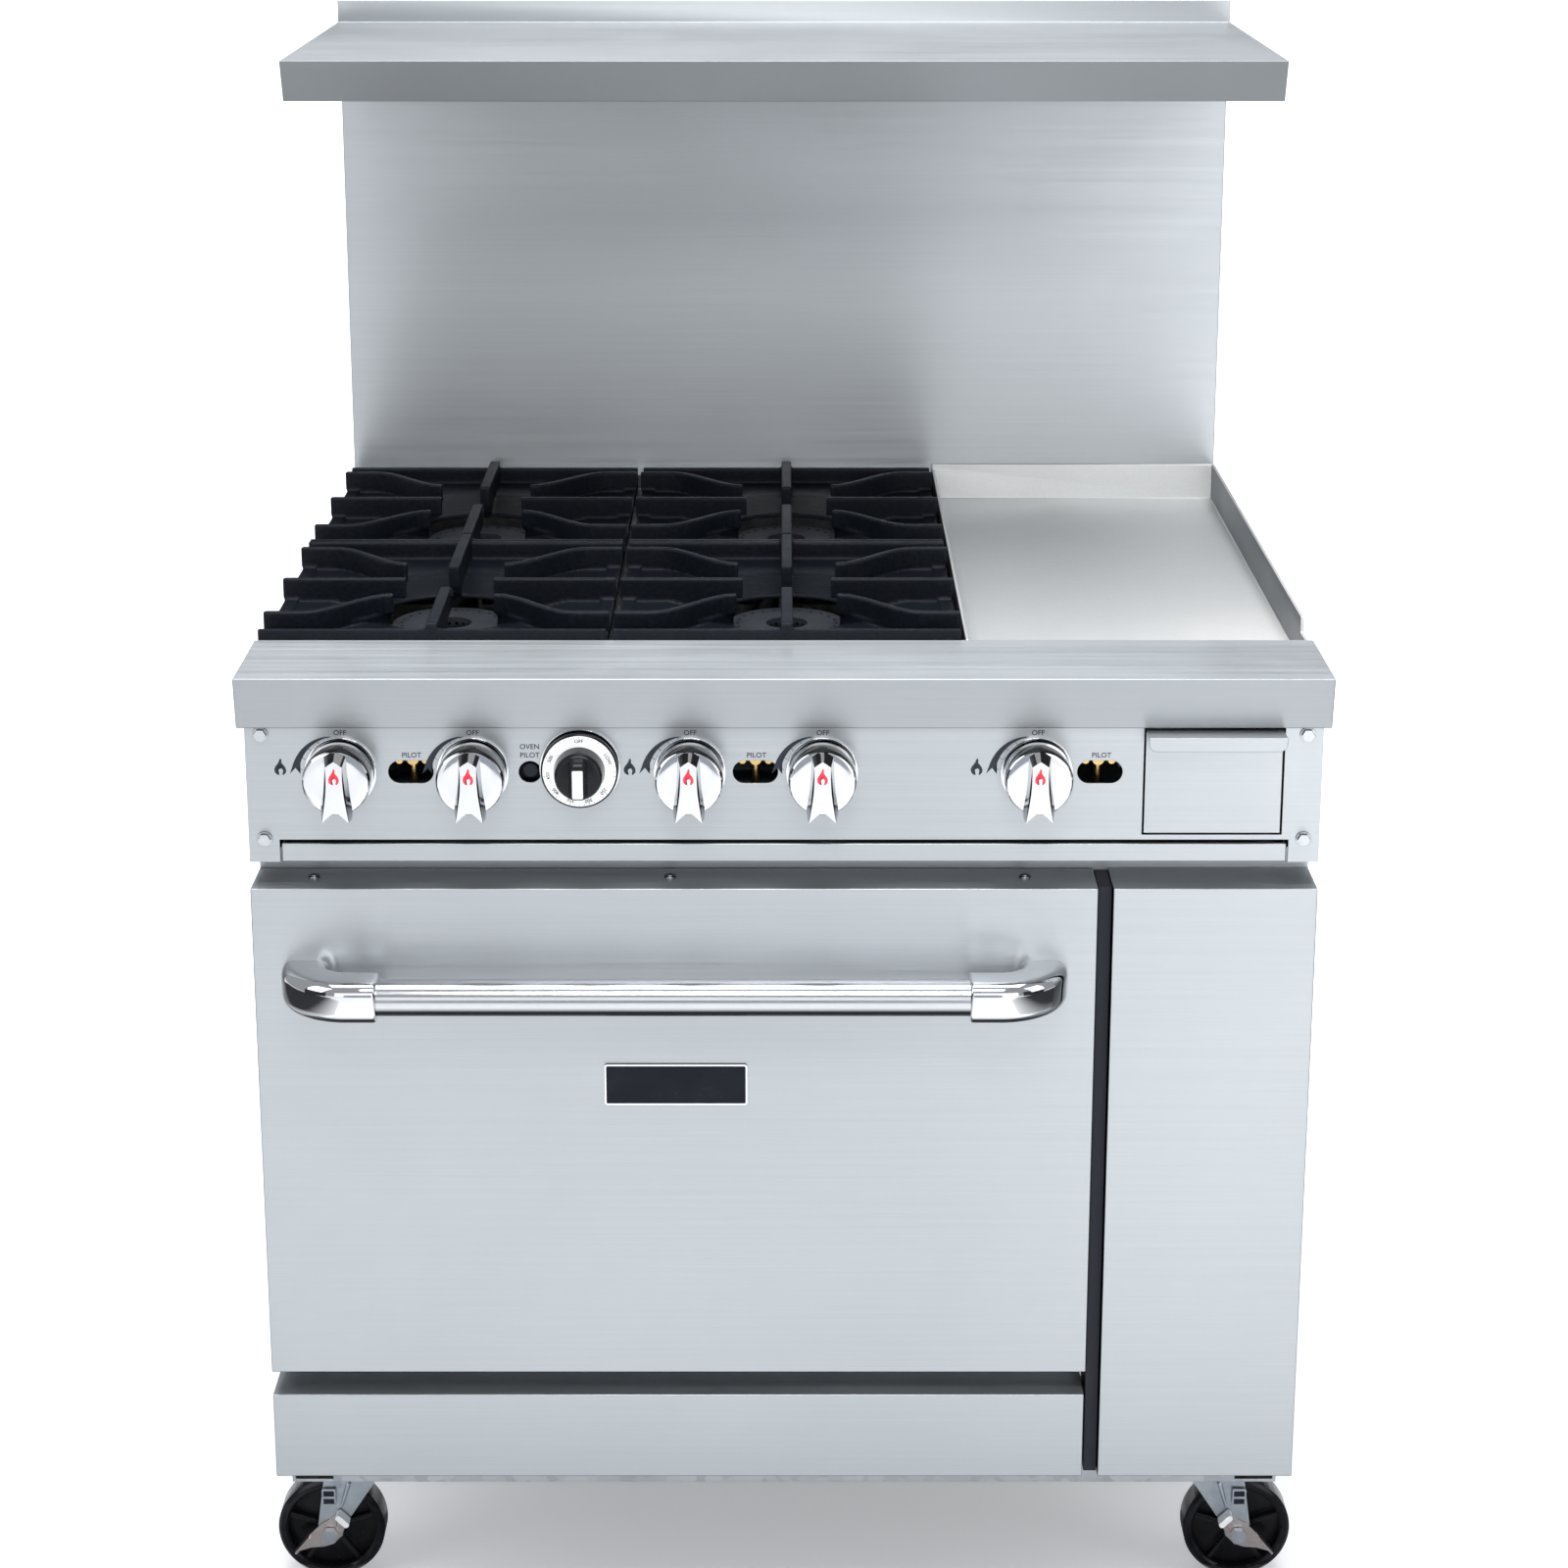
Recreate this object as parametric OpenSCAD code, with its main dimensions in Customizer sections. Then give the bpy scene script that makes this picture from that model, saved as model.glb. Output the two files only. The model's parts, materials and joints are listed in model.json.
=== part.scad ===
// Commercial gas range: four open burners, a griddle, an oven with a drop-down door, a high shelf
// and casters.
// Millimetres. +Z is up and the front faces -Y. The origin lies on the floor, midway between the sides
// and midway between the front of the door handle and the end of the gas pipe.

/* [Cabinet] */
// Width across the front ledge and the high shelf
range_w = 914.4; // [880:1:960]
// Width across the side panels
body_w = 900; // [870:1:906]
// Height of the front ledge above the floor
cooktop_h = 926; // [915:1:940]
// Depth from the front edge of the ledge to the backsplash
cooktop_d = 800; // [790:1:830]
// Height of the shelf top above the floor
shelf_h = 1395; // [1300:1:1450]
// Depth of the high shelf
shelf_d = 409; // [300:1:430]
// Thickness of the folded sheet
sheet_t = 2; // [1.5:0.1:2.5]

/* [Oven door] */
// Left edge of the door, from the middle of the range
door_left = -450; // [-450:1:-440]
// Right edge of the door, from the middle of the range
door_right = 265; // [255:1:265]
// Bottom of the door above the floor
door_bottom = 292; // [290:1:294]
// Top of the door above the floor
door_top = 742; // [730:1:745]
// Depth of the door
door_t = 53; // [50:1:53]
// Diameter of the handle bar
handle_bar_d = 31; // [24:1:32]

/* [Controls] */
// Diameter of a burner knob
knob_d = 57; // [45:1:58]
// Diameter of the oven thermostat dial
dial_d = 65; // [50:1:66]
// Height of the burner knobs above the floor
knob_z = 841; // [836:1:844]

/* [Cooktop] */
// Width of one top grate
grate_w = 303; // [290:1:303]
// Depth of one top grate
grate_d = 324; // [300:1:324]
// Thickness of a grate finger
finger_t = 7; // [5:0.5:9]
// Diameter of a burner head
burner_d = 106; // [80:1:110]
// Thickness of the griddle plate
griddle_t = 12; // [8:1:14]

/* [Casters] */
// Diameter of a caster wheel
wheel_d = 100; // [90:1:100]
// Height of a whole caster
caster_h = 150; // [146:1:150]

/* [Hidden] */
$fn = 48;

// Overall depth, from the handle's front to the gas pipe's end, measured from the ledge's front edge
handle_front = -60;
pipe_end = 860;
y_mid = (handle_front + pipe_end) / 2;
clear = 0.5;

// Cabinet
half_w = range_w / 2;
half_body = body_w / 2;
base_z = caster_h;
base_h = 40;
body_z = base_z + base_h;
front_y = 55;
back_y = cooktop_d + 29;
kick_top = 270;
strip_z = 762;
tray_h = 16;
panel_y = 14;
panel_half = half_body + 1.5;
ledge_d = 122;
lip_h = 45;
lip_back = 8;
lip_z = cooktop_h - lip_h;
shelf_y = cooktop_d - shelf_d;
shelf_flange = 38;
shelf_lean = 15;
shelf_upstand = 22;
divider_w = 13;
cover_left = door_right + divider_w;

// Oven
door_mid = (door_left + door_right) / 2;
door_screw_xs = [door_left + 30, door_right - 30];
door_screw_zs = [door_bottom + 30, door_top - 30];
hinge_y = 20;
hinge_z = door_bottom + 8;
hinge_pin_r = 4;
hinge_arm_r = 9;
hinge_arm_t = 4;
hinge_inset = 14;
hinge_xs = [door_left + hinge_inset, door_right - hinge_inset];
liner_x0 = door_left + 26;
liner_x1 = door_right - 21;
liner_z0 = 300;
liner_z1 = 712;
liner_y1 = 690;
rack_z = 470;
guide_inset = 9;
rack_wire_r = 3;
heat_half = 306;
vent_half = 140;

// Door handle
handle_z = 660;
bracket_t = 40;
bracket_h = 36;
bracket_r_in = 20;
bracket_out = 333.5;
bar_half = 247.5;
bar_y = handle_front + bracket_t / 2;

// Controls: burner knobs from left to right, with the griddle's knob last
knob_xs = [-372, -261, -79, 32, 212];
dial_x = -171;
dial_z = 845;
pilot_xs = [-313, -24, 265];
pilot_w = 38;
pilot_h = 20;
oven_pilot_x = -213;
knob_gap = 4;
knob_depth = 25;
grip_depth = 10;
grip_w = 19;
grip_tail = 34;
stem_r = 4;
bezel_t = 2.5;
bezel_r = knob_d / 2 + 2;

// Grease drawer and crumb tray
drawer_x0 = 303;
drawer_x1 = 418;
drawer_z0 = 787;
drawer_z1 = 878;
drawer_box_z = 836;
drawer_depth = 215;
tray_half = 424;
tray_depth = 690;

// Cooktop
griddle_x0 = 157;
grate_top = cooktop_h + 13;
grate_seat = 911;
grate_xs = [-304.5, 2.5];
grate_ys = [ledge_d + 1.5 + grate_d / 2, ledge_d + 3.5 + grate_d * 1.5];
burner_z = 897;
burner_h = 25;
venturi_r = 13;
venturi_z = 855;
venturi_y = 84;
griddle_z = cooktop_h - 31;
griddle_y0 = 228;
trough_y0 = ledge_d + 1;
trough_z = 868;
skirt_z = trough_z - 6;
drain = [360, 180];
drain_r = 16;
splash_t = 3;
splash_h = 37;
manifold_r = 13.35;
manifold_y = 58;
manifold_z = 815;
manifold_x0 = -424;
elbow_r = 17;
manifold_x1 = 240;

// Casters: swivel axis of each corner, with the wheel trailing outwards
swivel_x = 398;
trail = 28;
caster_ys = [163, 700];
wheel_r = wheel_d / 2;
wheel_w = 30;
axle_r = 4;
fork_gap = 17.5;
fork_t = 3;
crown_z = 124;
crown_h = 6;
crown_r = 33;
kingpin_r = 6;
race_z = crown_z + crown_h + clear;

// ---------- general shapes ----------

// Everything is laid out from the ledge's front edge, then moved to the part's origin
module placed() {
    translate([0, -y_mid, 0]) children();
}

module box(x0, x1, y0, y1, z0, z1) {
    translate([x0, y0, z0]) cube([x1 - x0, y1 - y0, z1 - z0]);
}

module rod_x(x0, x1, y, z, r) {
    translate([x0, y, z]) rotate([0, 90, 0]) cylinder(r = r, h = x1 - x0);
}

module rod_y(x, y0, y1, z, r) {
    translate([x, y0, z]) rotate([-90, 0, 0]) cylinder(r = r, h = y1 - y0);
}

module rod_z(x, y, z0, z1, r) {
    translate([x, y, z0]) cylinder(r = r, h = z1 - z0);
}

// A round rod in the horizontal plane between two points
module rod_level(a, b, z, r) {
    d = b - a;
    translate([a[0], a[1], z]) rotate([0, 90, atan2(d[1], d[0])]) cylinder(r = r, h = norm(d));
}

// A profile in (y, z) drawn out along X
module profile_x(x0, x1, points) {
    translate([x0, 0, 0]) rotate([90, 0, 90]) linear_extrude(x1 - x0) polygon(points);
}

// An outline in (x, z) drawn out along Y
module outline_y(y0, y1) {
    translate([0, y1, 0]) rotate([90, 0, 0]) linear_extrude(y1 - y0) children();
}

module rounded_square(w, h, r) {
    square([w - 2 * r, h], center = true);
    square([w, h - 2 * r], center = true);
    for (sx = [-1, 1], sy = [-1, 1]) translate([sx * (w / 2 - r), sy * (h / 2 - r)]) circle(r);
}

// A folded sheet-metal pan that faces the front and is open at the back
module pan(x0, x1, y0, y1, z0, z1, t) {
    difference() {
        box(x0, x1, y0, y1, z0, z1);
        box(x0 + t, x1 - t, y0 + t, y1 + 1, z0 + t, z1 - t);
    }
}

// A rectangular tube along X or Y
module tube_x(x0, x1, y0, y1, z0, z1, t) {
    difference() {
        box(x0, x1, y0, y1, z0, z1);
        box(x0 - 1, x1 + 1, y0 + t, y1 - t, z0 + t, z1 - t);
    }
}

module tube_y(x0, x1, y0, y1, z0, z1, t) {
    difference() {
        box(x0, x1, y0, y1, z0, z1);
        box(x0 + t, x1 - t, y0 - 1, y1 + 1, z0 + t, z1 - t);
    }
}

// An upright hollow post that is closed at the top
module post(x0, x1, y0, y1, z0, z1, t) {
    difference() {
        box(x0, x1, y0, y1, z0, z1);
        box(x0 + t, x1 - t, y0 + t, y1 - t, z0 - 1, z1 - t);
    }
}

// A hexagon-headed screw whose head stands forward of y
module hex_head(x, y, z, r, h) {
    translate([x, y, z]) rotate([90, 0, 0]) cylinder(r = r, h = h, $fn = 6);
}

// ---------- cabinet ----------

module base_frame() {
    tube = 40;
    wall = 3;
    x1 = half_body - 4;
    y0 = front_y + 5;
    y1 = back_y - 8;
    plate_w = 104;
    plate_d = 92;
    color("silver") placed() {
        for (s = [-1, 1]) {
            xs = s > 0 ? x1 - tube : -x1;
            tube_y(xs, xs + tube, y0, y1, base_z, body_z, wall);
        }
        for (y = [y0, y1 - tube]) tube_x(-x1 + tube, x1 - tube, y, y + tube, base_z, body_z, wall);
        for (s = [-1, 1], y = caster_ys) {
            x0 = s > 0 ? x1 - plate_w : -x1;
            box(x0, x0 + plate_w, y - plate_d / 2, y + plate_d / 2, base_z, base_z + wall);
        }
    }
}

// Top plate, ball race and king pin of each caster, with the bolts that hold it
module caster_plates() {
    plate_t = 5;
    plate_w = 92;
    plate_d = 78;
    rivet_r = 10;
    rivet_h = 5.5;
    color("lightsteelblue") placed() for (s = [-1, 1], y = caster_ys) {
        x = s * swivel_x;
        box(x - plate_w / 2, x + plate_w / 2, y - plate_d / 2, y + plate_d / 2, base_z - plate_t, base_z);
        rod_z(x, y, race_z, base_z - plate_t, 29);
        rod_z(x, y, crown_z - clear - rivet_h, race_z, kingpin_r);
        rod_z(x, y, crown_z - clear - rivet_h, crown_z - clear, rivet_r);
        for (dx = [-36, 36], dy = [-29, 29])
            translate([x + dx, y + dy, base_z - plate_t - 5]) cylinder(r = 6.5, h = 5, $fn = 6);
    }
}

module side_panel(side) {
    x0 = side > 0 ? half_body - sheet_t : -half_body;
    flange = 18;
    inner = side > 0 ? x0 - flange : x0 + sheet_t;
    color("gainsboro") placed() {
        box(x0, x0 + sheet_t, front_y + sheet_t, back_y, body_z, trough_z - 2);
        box(inner, inner + flange, front_y + sheet_t + clear, back_y - clear, body_z, body_z + sheet_t);
    }
}

module left_side_panel() {
    side_panel(-1);
}

module right_side_panel() {
    side_panel(1);
}

// Galvanised back with rows of pressed louvres
module back_panel() {
    louvre_w = 120;
    y0 = back_y - 1;
    y1 = back_y + sheet_t + 1;
    color("silver") placed() difference() {
        box(-half_body + 1, half_body - 1, back_y, back_y + sheet_t, body_z, shelf_h - 40);
        for (x = [-300, -100, 100, 300], k = [0:4])
            box(x - louvre_w / 2, x + louvre_w / 2, y0, y1, 230 + k * 22, 236 + k * 22);
        rod_y(manifold_x0, y0, y1, manifold_z, elbow_r + 1.5);
    }
}

// Frame round the oven mouth, with the two arms that carry the door's hinge pins
module front_frame() {
    stile = 24;
    half_arm = hinge_arm_t / 2;
    y1 = front_y + sheet_t;
    color("gainsboro") placed() {
        difference() {
            box(-half_body, half_body, front_y, y1, kick_top + 4, strip_z - 1.5);
            box(liner_x0 - 1, liner_x1 + 1, front_y - 1, y1 + 1, liner_z0, liner_z1);
        }
        box(-half_body, half_body, front_y, y1, body_z, body_z + 30);
        for (x = [-half_body, half_body - stile]) box(x, x + stile, front_y, y1, body_z, kick_top + 6);
        for (x = hinge_xs) difference() {
            union() {
                box(x - half_arm, x + half_arm, hinge_y, y1, hinge_z - hinge_arm_r, hinge_z + hinge_arm_r);
                rod_x(x - half_arm, x + half_arm, hinge_y, hinge_z, hinge_arm_r);
            }
            rod_x(x - hinge_arm_t, x + hinge_arm_t, hinge_y, hinge_z, hinge_pin_r + 0.06);
        }
    }
}

module divider_post() {
    gap = 1;
    recess = 10;
    color("black") placed()
        post(door_right + gap, cover_left - gap / 2, recess, front_y - clear, body_z, door_top - 2, 1.5);
}

module kick_panel() {
    color("gainsboro") placed()
        pan(door_left, door_right - 1, 0, front_y - clear, body_z, kick_top, sheet_t);
}

module right_front_cover() {
    color("gainsboro") placed()
        pan(cover_left, half_body, 0, front_y - clear, body_z, door_top, sheet_t);
}

// ---------- oven ----------

// Slot at the back of the oven's top that lets its gases out
module vent_slot(z0, z1) {
    box(door_mid - vent_half, door_mid + vent_half, 622, 662, z0, z1);
}

module oven_liner() {
    t = sheet_t;
    color("slategray") placed() difference() {
        box(liner_x0, liner_x1, front_y + sheet_t + clear, liner_y1, liner_z0, liner_z1);
        box(liner_x0 + t, liner_x1 - t, front_y, liner_y1 - t, liner_z0 + t, liner_z1 - t);
        box(door_mid - heat_half, door_mid + heat_half, 100, 630, liner_z0 - 1, liner_z0 + t + 1);
        vent_slot(liner_z1 - t - 1, liner_z1 + 1);
    }
}

// Mineral wool over the top, both sides and the back of the liner
module oven_insulation() {
    gap = 1;
    wall = 20;
    color("khaki") placed() difference() {
        box(liner_x0 - wall, liner_x1 + wall, front_y + 6, liner_y1 + 30, liner_z0 + 4, liner_z1 + wall);
        box(liner_x0 - gap, liner_x1 + gap, front_y, liner_y1 + gap, liner_z0, liner_z1 + gap);
        vent_slot(liner_z1, liner_z1 + wall + 1);
    }
}

module oven_floor() {
    slots = 6;
    slot_x = 290;
    z0 = liner_z0 + sheet_t;
    color("dimgray") placed() difference() {
        box(liner_x0 + 4, liner_x1 - 4, front_y + 8, liner_y1 - 5, z0, z0 + 2.5);
        for (x = [door_mid - slot_x, door_mid + slot_x], k = [0:slots - 1])
            box(x - 9, x + 9, 110 + k * 90, 165 + k * 90, z0 - 1, z0 + 4);
    }
}

// Wire ladders on the oven's side walls that carry the rack at four heights
module rack_guides() {
    wire = 3;
    posts = [100, 380, 660];
    drop = rack_wire_r + wire + 0.4;
    color("silver") placed() for (side = [-1, 1]) {
        wall_x = side < 0 ? liner_x0 + sheet_t : liner_x1 - sheet_t;
        x = wall_x - side * (wire + 0.5);
        rail_x = wall_x - side * (guide_inset + wire);
        for (y = posts) rod_z(x, y, liner_z0 + 5, 690, wire);
        for (z = [380, rack_z, 560, 650]) {
            rod_y(rail_x, 90, 670, z - drop, wire);
            for (y = posts) rod_x(min(x, rail_x), max(x, rail_x), y, z - drop, wire - 0.5);
        }
    }
}

// Cast burner bar with ports, under a bent flame spreader
module oven_burner() {
    r = 16;
    z = 250;
    y0 = 80;
    color("dimgray") placed() {
        difference() {
            union() {
                rod_y(door_mid, y0, 620, z, r);
                rod_y(door_mid, y0, y0 + 24, z, r + 6);
            }
            rod_y(door_mid, y0 - 1, 600, z, r - 4);
            for (k = [0:11], s = [-1, 1]) rod_z(door_mid + s * 6, 150 + k * 38, z + 8, z + r + 2, 2);
        }
        flame_spreader(z + 24);
        for (y = [140, 590]) box(door_mid - 5, door_mid + 5, y, y + 4, z + r - 1, z + 25);
        for (y = [160, 560]) {
            box(-half_body + 22, half_body - 22, y, y + 20, body_z, body_z + 2.5);
            box(door_mid - 8, door_mid + 8, y + 5, y + 15, body_z + 2, z - r + 2);
        }
    }
}

module flame_spreader(z) {
    t = 2;
    half = 58;
    eave = z - 10;
    ridge = z + 4;
    outline_y(110, 610) translate([door_mid, 0])
        polygon([
            [-half, eave], [0, ridge], [half, eave],
            [half, eave + t], [0, ridge + t], [-half, eave + t]
        ]);
}

// ---------- cooktop ----------

// Rails that the grates sit on, the rear strip and the rails that the crumb tray slides on
module cooktop_frame() {
    t = 3;
    y0 = ledge_d + 1;
    y1 = cooktop_d - clear;
    rear_y = grate_ys[1] + grate_d / 2 + 1;
    row_y = (grate_ys[0] + grate_ys[1]) / 2;
    col_x = (grate_xs[0] + grate_xs[1]) / 2;
    rest_z = 830;
    rest_x0 = -half_body + sheet_t + clear;
    rest_x1 = griddle_x0 - 2;
    color("silver") placed() {
        for (x = [-half_w, griddle_x0 - 22 - 1]) box(x, x + 22, y0, rear_y, grate_seat - t, grate_seat);
        box(-half_w, -half_w + t, y0, y1, skirt_z, grate_seat);
        box(griddle_x0 - 1 - t, griddle_x0 - 1, y0, y1, skirt_z + 18, grate_seat);
        box(col_x - 14, col_x + 14, y0, rear_y, grate_seat - t, grate_seat);
        for (y = [y0, row_y - 7, rear_y - 14])
            box(-half_w + 1, griddle_x0 - 2, y, y + 14, grate_seat - t, grate_seat);
        box(-half_w, griddle_x0 - 1, rear_y, y1, cooktop_h - sheet_t, cooktop_h);
        box(-half_w, griddle_x0 - 1, rear_y, rear_y + sheet_t, grate_seat - t, cooktop_h);
        for (y = grate_ys) {
            box(rest_x0, rest_x1, y - 10, y + 10, rest_z, rest_z + 3);
            for (k = [0, 1]) {
                x = grate_xs[k] + (k * 2 - 1) * 8;
                box(x - 5, x + 5, y - 10, y + 10, rest_z, venturi_z - venturi_r);
            }
            box(rest_x0, rest_x0 + t, y - 10, y + 10, rest_z, grate_seat - 1);
            box(griddle_x0 - 6, griddle_x0 - 3, y - 10, y + 10, rest_z, grate_seat - 1);
        }
        for (s = [-1, 1]) {
            x0 = s > 0 ? tray_half - 16 : -half_body + sheet_t + clear;
            x1 = s > 0 ? half_body - sheet_t - clear : -tray_half + 16;
            wall = s > 0 ? x1 - t : x0;
            box(x0, x1, front_y + 4, tray_depth, strip_z - 4, strip_z - 1);
            box(wall, wall + t, front_y + 4, tray_depth, strip_z - 4, strip_z + 14);
        }
    }
}

// The rolled ledge along the front of the cooktop, closed at both ends
module front_ledge() {
    t = sheet_t;
    top = cooktop_h;
    hem = 4;
    skin = [
        [0, top], [ledge_d, top], [ledge_d, top - 18], [ledge_d - t, top - 18], [ledge_d - t, top - t],
        [t, top - t], [lip_back + t, lip_z + t], [lip_back + hem, lip_z + t], [lip_back + hem, lip_z],
        [lip_back, lip_z]
    ];
    cap = [
        [0, top], [ledge_d, top], [ledge_d, skirt_z], [front_y + t, skirt_z], [front_y + t, lip_z],
        [lip_back, lip_z]
    ];
    color("gainsboro") placed() {
        profile_x(-half_w, half_w, skin);
        for (x = [-half_w, half_w - t]) profile_x(x, x + t, cap);
    }
}

module panel_holes(y0, y1) {
    gap = 1.5;
    for (x = knob_xs) rod_y(x, y0, y1, knob_z, 8);
    rod_y(dial_x, y0, y1, dial_z, 9);
    rod_y(oven_pilot_x, y0, y1, knob_z, 9.5);
    for (x = pilot_xs) outline_y(y0, y1) translate([x, knob_z]) rounded_square(pilot_w, pilot_h, 9.99);
    box(drawer_x0 - gap, drawer_x1 + gap, y0, y1, drawer_z0 - gap, drawer_z1 + gap);
    box(-tray_half - gap, tray_half + gap, y0, y1, strip_z - 5, strip_z + tray_h + 2 * gap);
}

module control_panel() {
    t = sheet_t;
    color("gainsboro") placed() {
        difference() {
            box(-panel_half, panel_half, panel_y, panel_y + t, strip_z - 1, cooktop_h - 6);
            panel_holes(panel_y - 1, panel_y + t + 1);
        }
        for (x = [-panel_half, panel_half - t])
            box(x, x + t, panel_y + t / 2, front_y - clear, strip_z - 1, lip_z - 1);
    }
}

module panel_screws() {
    color("silver") placed() for (x = [-438, 438], z = [782, 874]) {
        rod_y(x, panel_y - 1.5, panel_y, z, 6.5);
        hex_head(x, panel_y - 1, z, 5.5, 4);
    }
}

// Stamped discs between the panel and the knobs
module knob_bezels() {
    color("gray") placed() {
        for (x = knob_xs) difference() {
            rod_y(x, panel_y - bezel_t, panel_y, knob_z, bezel_r);
            rod_y(x, panel_y - bezel_t - 1, panel_y + 1, knob_z, 8);
        }
        difference() {
            rod_y(dial_x, panel_y - bezel_t, panel_y, dial_z, dial_d / 2 + 1.5);
            rod_y(dial_x, panel_y - bezel_t - 1, panel_y + 1, dial_z, 9);
        }
    }
}

// A cast burner: ring head with ports, throat, and the mixing tube that runs forward to its valve
module open_burner(pos, valve_x) {
    r = burner_d / 2;
    hole = 19;
    port_r = 1.6;
    z0 = burner_z - burner_h;
    mouth = [valve_x, venturi_y];
    along = unit(pos - mouth);
    difference() {
        union() {
            translate([pos[0], pos[1], z0]) difference() {
                cylinder(r = r, h = burner_h);
                translate([0, 0, 8]) cylinder(r = hole, h = burner_h);
            }
            rod_z(pos[0], pos[1], venturi_z - venturi_r + 2, z0 + 1, venturi_r + 4);
            rod_level(mouth, pos, venturi_z, venturi_r);
            rod_level(mouth, mouth + 26 * along, venturi_z, venturi_r + 4);
        }
        rod_level(mouth - 2 * along, pos, venturi_z, venturi_r - 3);
        for (k = [0:17])
            translate([pos[0], pos[1], burner_z - 6]) rotate([0, 90, k * 20])
                translate([0, 0, hole - 2]) cylinder(r = port_r, h = 6);
        for (k = [0:23])
            translate([pos[0], pos[1], 0]) rotate([0, 0, k * 15])
                rod_z(r - 8, 0, burner_z - 3, burner_z + 1, port_r);
    }
}

function unit(v) = v / norm(v);

module top_burners() {
    color("dimgray") placed() {
        open_burner([grate_xs[0], grate_ys[0]], knob_xs[1]);
        open_burner([grate_xs[0], grate_ys[1]], knob_xs[0]);
        open_burner([grate_xs[1], grate_ys[0]], knob_xs[3]);
        open_burner([grate_xs[1], grate_ys[1]], knob_xs[2]);
    }
}

// Gas pipe: along the front behind the panel, and back along the left side to the inlet
module gas_manifold() {
    color("dimgray") placed() {
        rod_x(manifold_x0, manifold_x1, manifold_y, manifold_z, manifold_r);
        rod_x(manifold_x1 - 18, manifold_x1 + 2, manifold_y, manifold_z, elbow_r);
        translate([manifold_x0, manifold_y, manifold_z]) sphere(r = elbow_r);
        rod_y(manifold_x0, manifold_y, pipe_end, manifold_z, manifold_r);
        rod_y(manifold_x0, manifold_y, manifold_y + 22, manifold_z, elbow_r);
        rod_y(manifold_x0, cooktop_d, back_y + sheet_t + 1, manifold_z, elbow_r);
    }
}

// Brass valves: one for each burner and one small one behind each pilot slot
module gas_valves() {
    seat_z = manifold_z + manifold_r - 1;
    stem_front = panel_y - bezel_t - knob_gap - knob_depth + 6;
    color("goldenrod") placed() {
        for (x = knob_xs) {
            rod_z(x, manifold_y, seat_z, knob_z - 4, 6);
            rod_y(x, 24, 70, knob_z, 11);
            rod_y(x, 69, venturi_y - 6, knob_z + 7, 3);
            rod_y(x, stem_front, 25, knob_z, stem_r);
        }
        for (x = pilot_xs) {
            rod_y(x, 30, 46, knob_z + 6, 5);
            rod_x(x - 15, x + 22, 38, knob_z + 6, 4.5);
            for (dx = [-11, 11]) rod_y(x + dx, 27, 38, knob_z + 6, 3);
            rod_z(x, 38, manifold_z, knob_z + 6, 3.5);
            rod_y(x, 36, manifold_y, manifold_z + 6, 3);
        }
    }
}

module oven_controls() {
    stem_front = panel_y - bezel_t - knob_gap - 12;
    color("gray") placed() {
        box(dial_x - 27, dial_x + 27, 24, 43, dial_z - 22, dial_z + 22);
        rod_y(dial_x, stem_front, 25, dial_z, stem_r);
        rod_z(dial_x + 36, 34, dial_z - 18, dial_z + 18, 8);
        rod_x(dial_x + 20, dial_x + 36, 34, dial_z, 5);
        box(oven_pilot_x - 10, oven_pilot_x + 10, 26, 42, knob_z - 9, knob_z + 9);
        rod_y(oven_pilot_x, 19, 27, knob_z, 6);
    }
}

// Thin tubes from the pilot valves back to the pilot flames between the burners
module pilot_tubes() {
    r = 2.2;
    run_z = 838;
    ends = [(grate_ys[0] + grate_ys[1]) / 2, (grate_ys[0] + grate_ys[1]) / 2, 300];
    color("silver") placed() for (k = [0:2]) {
        x = pilot_xs[k] + 20;
        z1 = k < 2 ? burner_z - 4 : griddle_z - griddle_t - 8;
        rod_z(x, 44, run_z, knob_z + 6, r);
        rod_y(x, 44, ends[k], run_z, r);
        rod_z(x, ends[k], run_z, z1, r);
        rod_z(x, ends[k], z1 - 12, z1, 5);
    }
}

// Thick steel griddle plate with its welded splash walls and the grease trough along its front
module griddle() {
    x0 = griddle_x0;
    x1 = half_w;
    t = splash_t;
    y1 = cooktop_d - clear;
    wall_top = griddle_z + splash_h;
    side_y = 176;
    color("lightgray") placed() difference() {
        union() {
            box(x0, x1, griddle_y0, y1, griddle_z - griddle_t, griddle_z);
            box(x0, x1, y1 - t, y1, griddle_z - 1, wall_top);
            box(x1 - t, x1, side_y, y1, skirt_z, wall_top);
            box(x1 - t, x1, trough_y0, side_y, skirt_z, cooktop_h - 8);
            box(x0, x0 + t, trough_y0, y1, trough_z, cooktop_h);
            box(x0, x1, trough_y0, griddle_y0 + t, trough_z, trough_z + t);
            box(x0, x1, trough_y0, trough_y0 + t, trough_z, cooktop_h - 8);
            box(x0, x1, griddle_y0, griddle_y0 + t, trough_z, griddle_z - 1);
        }
        rod_z(drain[0], drain[1], trough_z - 1, trough_z + t + 1, drain_r);
    }
}

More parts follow.
